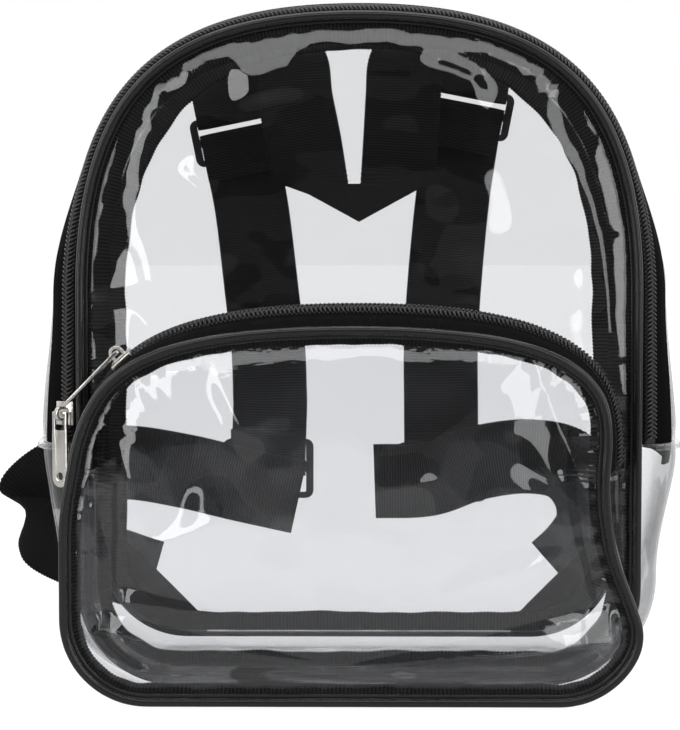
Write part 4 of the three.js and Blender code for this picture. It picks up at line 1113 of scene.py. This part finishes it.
stageLook = dict(floorRadius=40.0, floorColour=0.15, floorGlow=0.94, tableEdge=-0.8, tableMirrored=0.36,
                 beyondMirrored=0.03, edgeSharpness=20, skySeen=1.0, skyLight=0.5,
                 mirroredAhead=0.04, mirroredBehind=1.0, skyTurn=(1.4, 0.75))
lightRows = [
    # name, place, aimed at, size, watts
    ("leftKey", (-0.52, -1.1, 0.48), (-0.05, 0, 0.2), (0.14, 0.75), 1.5),
    ("rightKey", (0.55, -1.1, 0.5), (0.05, 0, 0.2), (0.22, 0.8), 1.8),
    ("leftStrip", (-1.0, -0.7, 0.6), (-0.05, 0, 0.18), (0.3, 1.2), 5),
    ("rightStrip", (1.05, -0.7, 0.6), (0.05, 0, 0.18), (0.3, 1.2), 5),
    ("frontCard", (0, -1.3, 1.25), (0, 0, 0.15), (1.5, 0.42), 6.0),
    ("overhead", (0, -0.1, 1.6), (0, 0, 0), (1.3, 0.6), 6),
]
cameraLook = dict(place=(0, -0.9215, 0.194), aim=(-0.008, -0.0915, 0.1478), lens=96.6)


def makeFloor():
    mesh = bpy.data.meshes.new("floor")
    r, count = stageLook["floorRadius"], 96
    ring = [(r * math.cos(turn), r * math.sin(turn), 0) for turn in turns(count).tolist()]
    mesh.from_pydata(ring, [], [list(range(count))])
    floor = bpy.data.objects.new("floor", mesh)
    scene.collection.objects.link(floor)
    material, tree, shader = newMaterial("paleFloor")
    grey = stageLook["floorColour"]
    setInputs(shader, {"Base Color": (grey, grey, grey, 1), "Roughness": 0.9, "Emission Color": (1, 1, 1, 1)})
    # Mirrored in the film, the floor is a pale table that ends some way in front
    path = tree.nodes.new("ShaderNodeLightPath").outputs["Is Camera Ray"]
    split = tree.nodes.new("ShaderNodeSeparateXYZ")
    tree.links.new(coordinates(tree, "Object"), split.inputs[0])
    look = stageLook
    near, far, sharp = look["tableMirrored"], look["beyondMirrored"], look["edgeSharpness"]
    onTable = mathNode(tree, "MULTIPLY_ADD", split.outputs["Y"], sharp, -sharp * look["tableEdge"], clamp=True)
    mirrored = mathNode(tree, "MULTIPLY_ADD", onTable, near - far, far)
    seen = mathNode(tree, "MULTIPLY", path, mathNode(tree, "SUBTRACT", look["floorGlow"], mirrored))
    tree.links.new(mathNode(tree, "ADD", seen, mirrored), shader.inputs["Emission Strength"])
    mesh.materials.append(material)
    floor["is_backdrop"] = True


def makeSky():
    world = bpy.data.worlds.new("studio")
    scene.world = world
    world.use_nodes = True
    tree = world.node_tree
    background = tree.nodes["Background"]
    path = tree.nodes.new("ShaderNodeLightPath")
    direction = tree.nodes.new("ShaderNodeSeparateXYZ")
    tree.links.new(coordinates(tree, "Generated"), direction.inputs[0])
    turned = mathNode(tree, "MULTIPLY_ADD", direction.outputs["Y"], *stageLook["skyTurn"], clamp=True)
    dim, bright = stageLook["mirroredAhead"], stageLook["mirroredBehind"]
    mirrored = mathNode(tree, "MULTIPLY_ADD", turned, bright - dim, dim - stageLook["skyLight"])
    lit = mathNode(tree, "MULTIPLY_ADD", path.outputs["Is Glossy Ray"], mirrored, stageLook["skyLight"])
    more = stageLook["skySeen"] - stageLook["skyLight"]
    seen = mathNode(tree, "MULTIPLY", path.outputs["Is Camera Ray"], more)
    tree.links.new(mathNode(tree, "ADD", lit, seen), background.inputs["Strength"])
    background.inputs["Color"].default_value = (1, 1, 1, 1)


def aimAt(thing, place, target):
    thing.location = place
    thing.rotation_euler = (Vector(target) - Vector(place)).to_track_quat("-Z", "Y").to_euler()


def makeLights():
    for name, place, target, size, watts in lightRows:
        data = bpy.data.lights.new(name, "AREA")
        data.shape = "RECTANGLE"
        data.size, data.size_y = size
        data.energy = watts
        light = bpy.data.objects.new(name, data)
        scene.collection.objects.link(light)
        aimAt(light, place, target)


def makeCamera():
    data = bpy.data.cameras.new("camera")
    data.lens = cameraLook["lens"]
    data.sensor_width = 36
    camera = bpy.data.objects.new("camera", data)
    scene.collection.objects.link(camera)
    aimAt(camera, cameraLook["place"], cameraLook["aim"])
    scene.camera = camera


makeFloor()
makeSky()
makeLights()
makeCamera()
# Light passes many sheets before it reaches the camera
scene.cycles.transparent_max_bounces = 48
scene.view_settings.view_transform = "Standard"
print("stage made")

low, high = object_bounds()
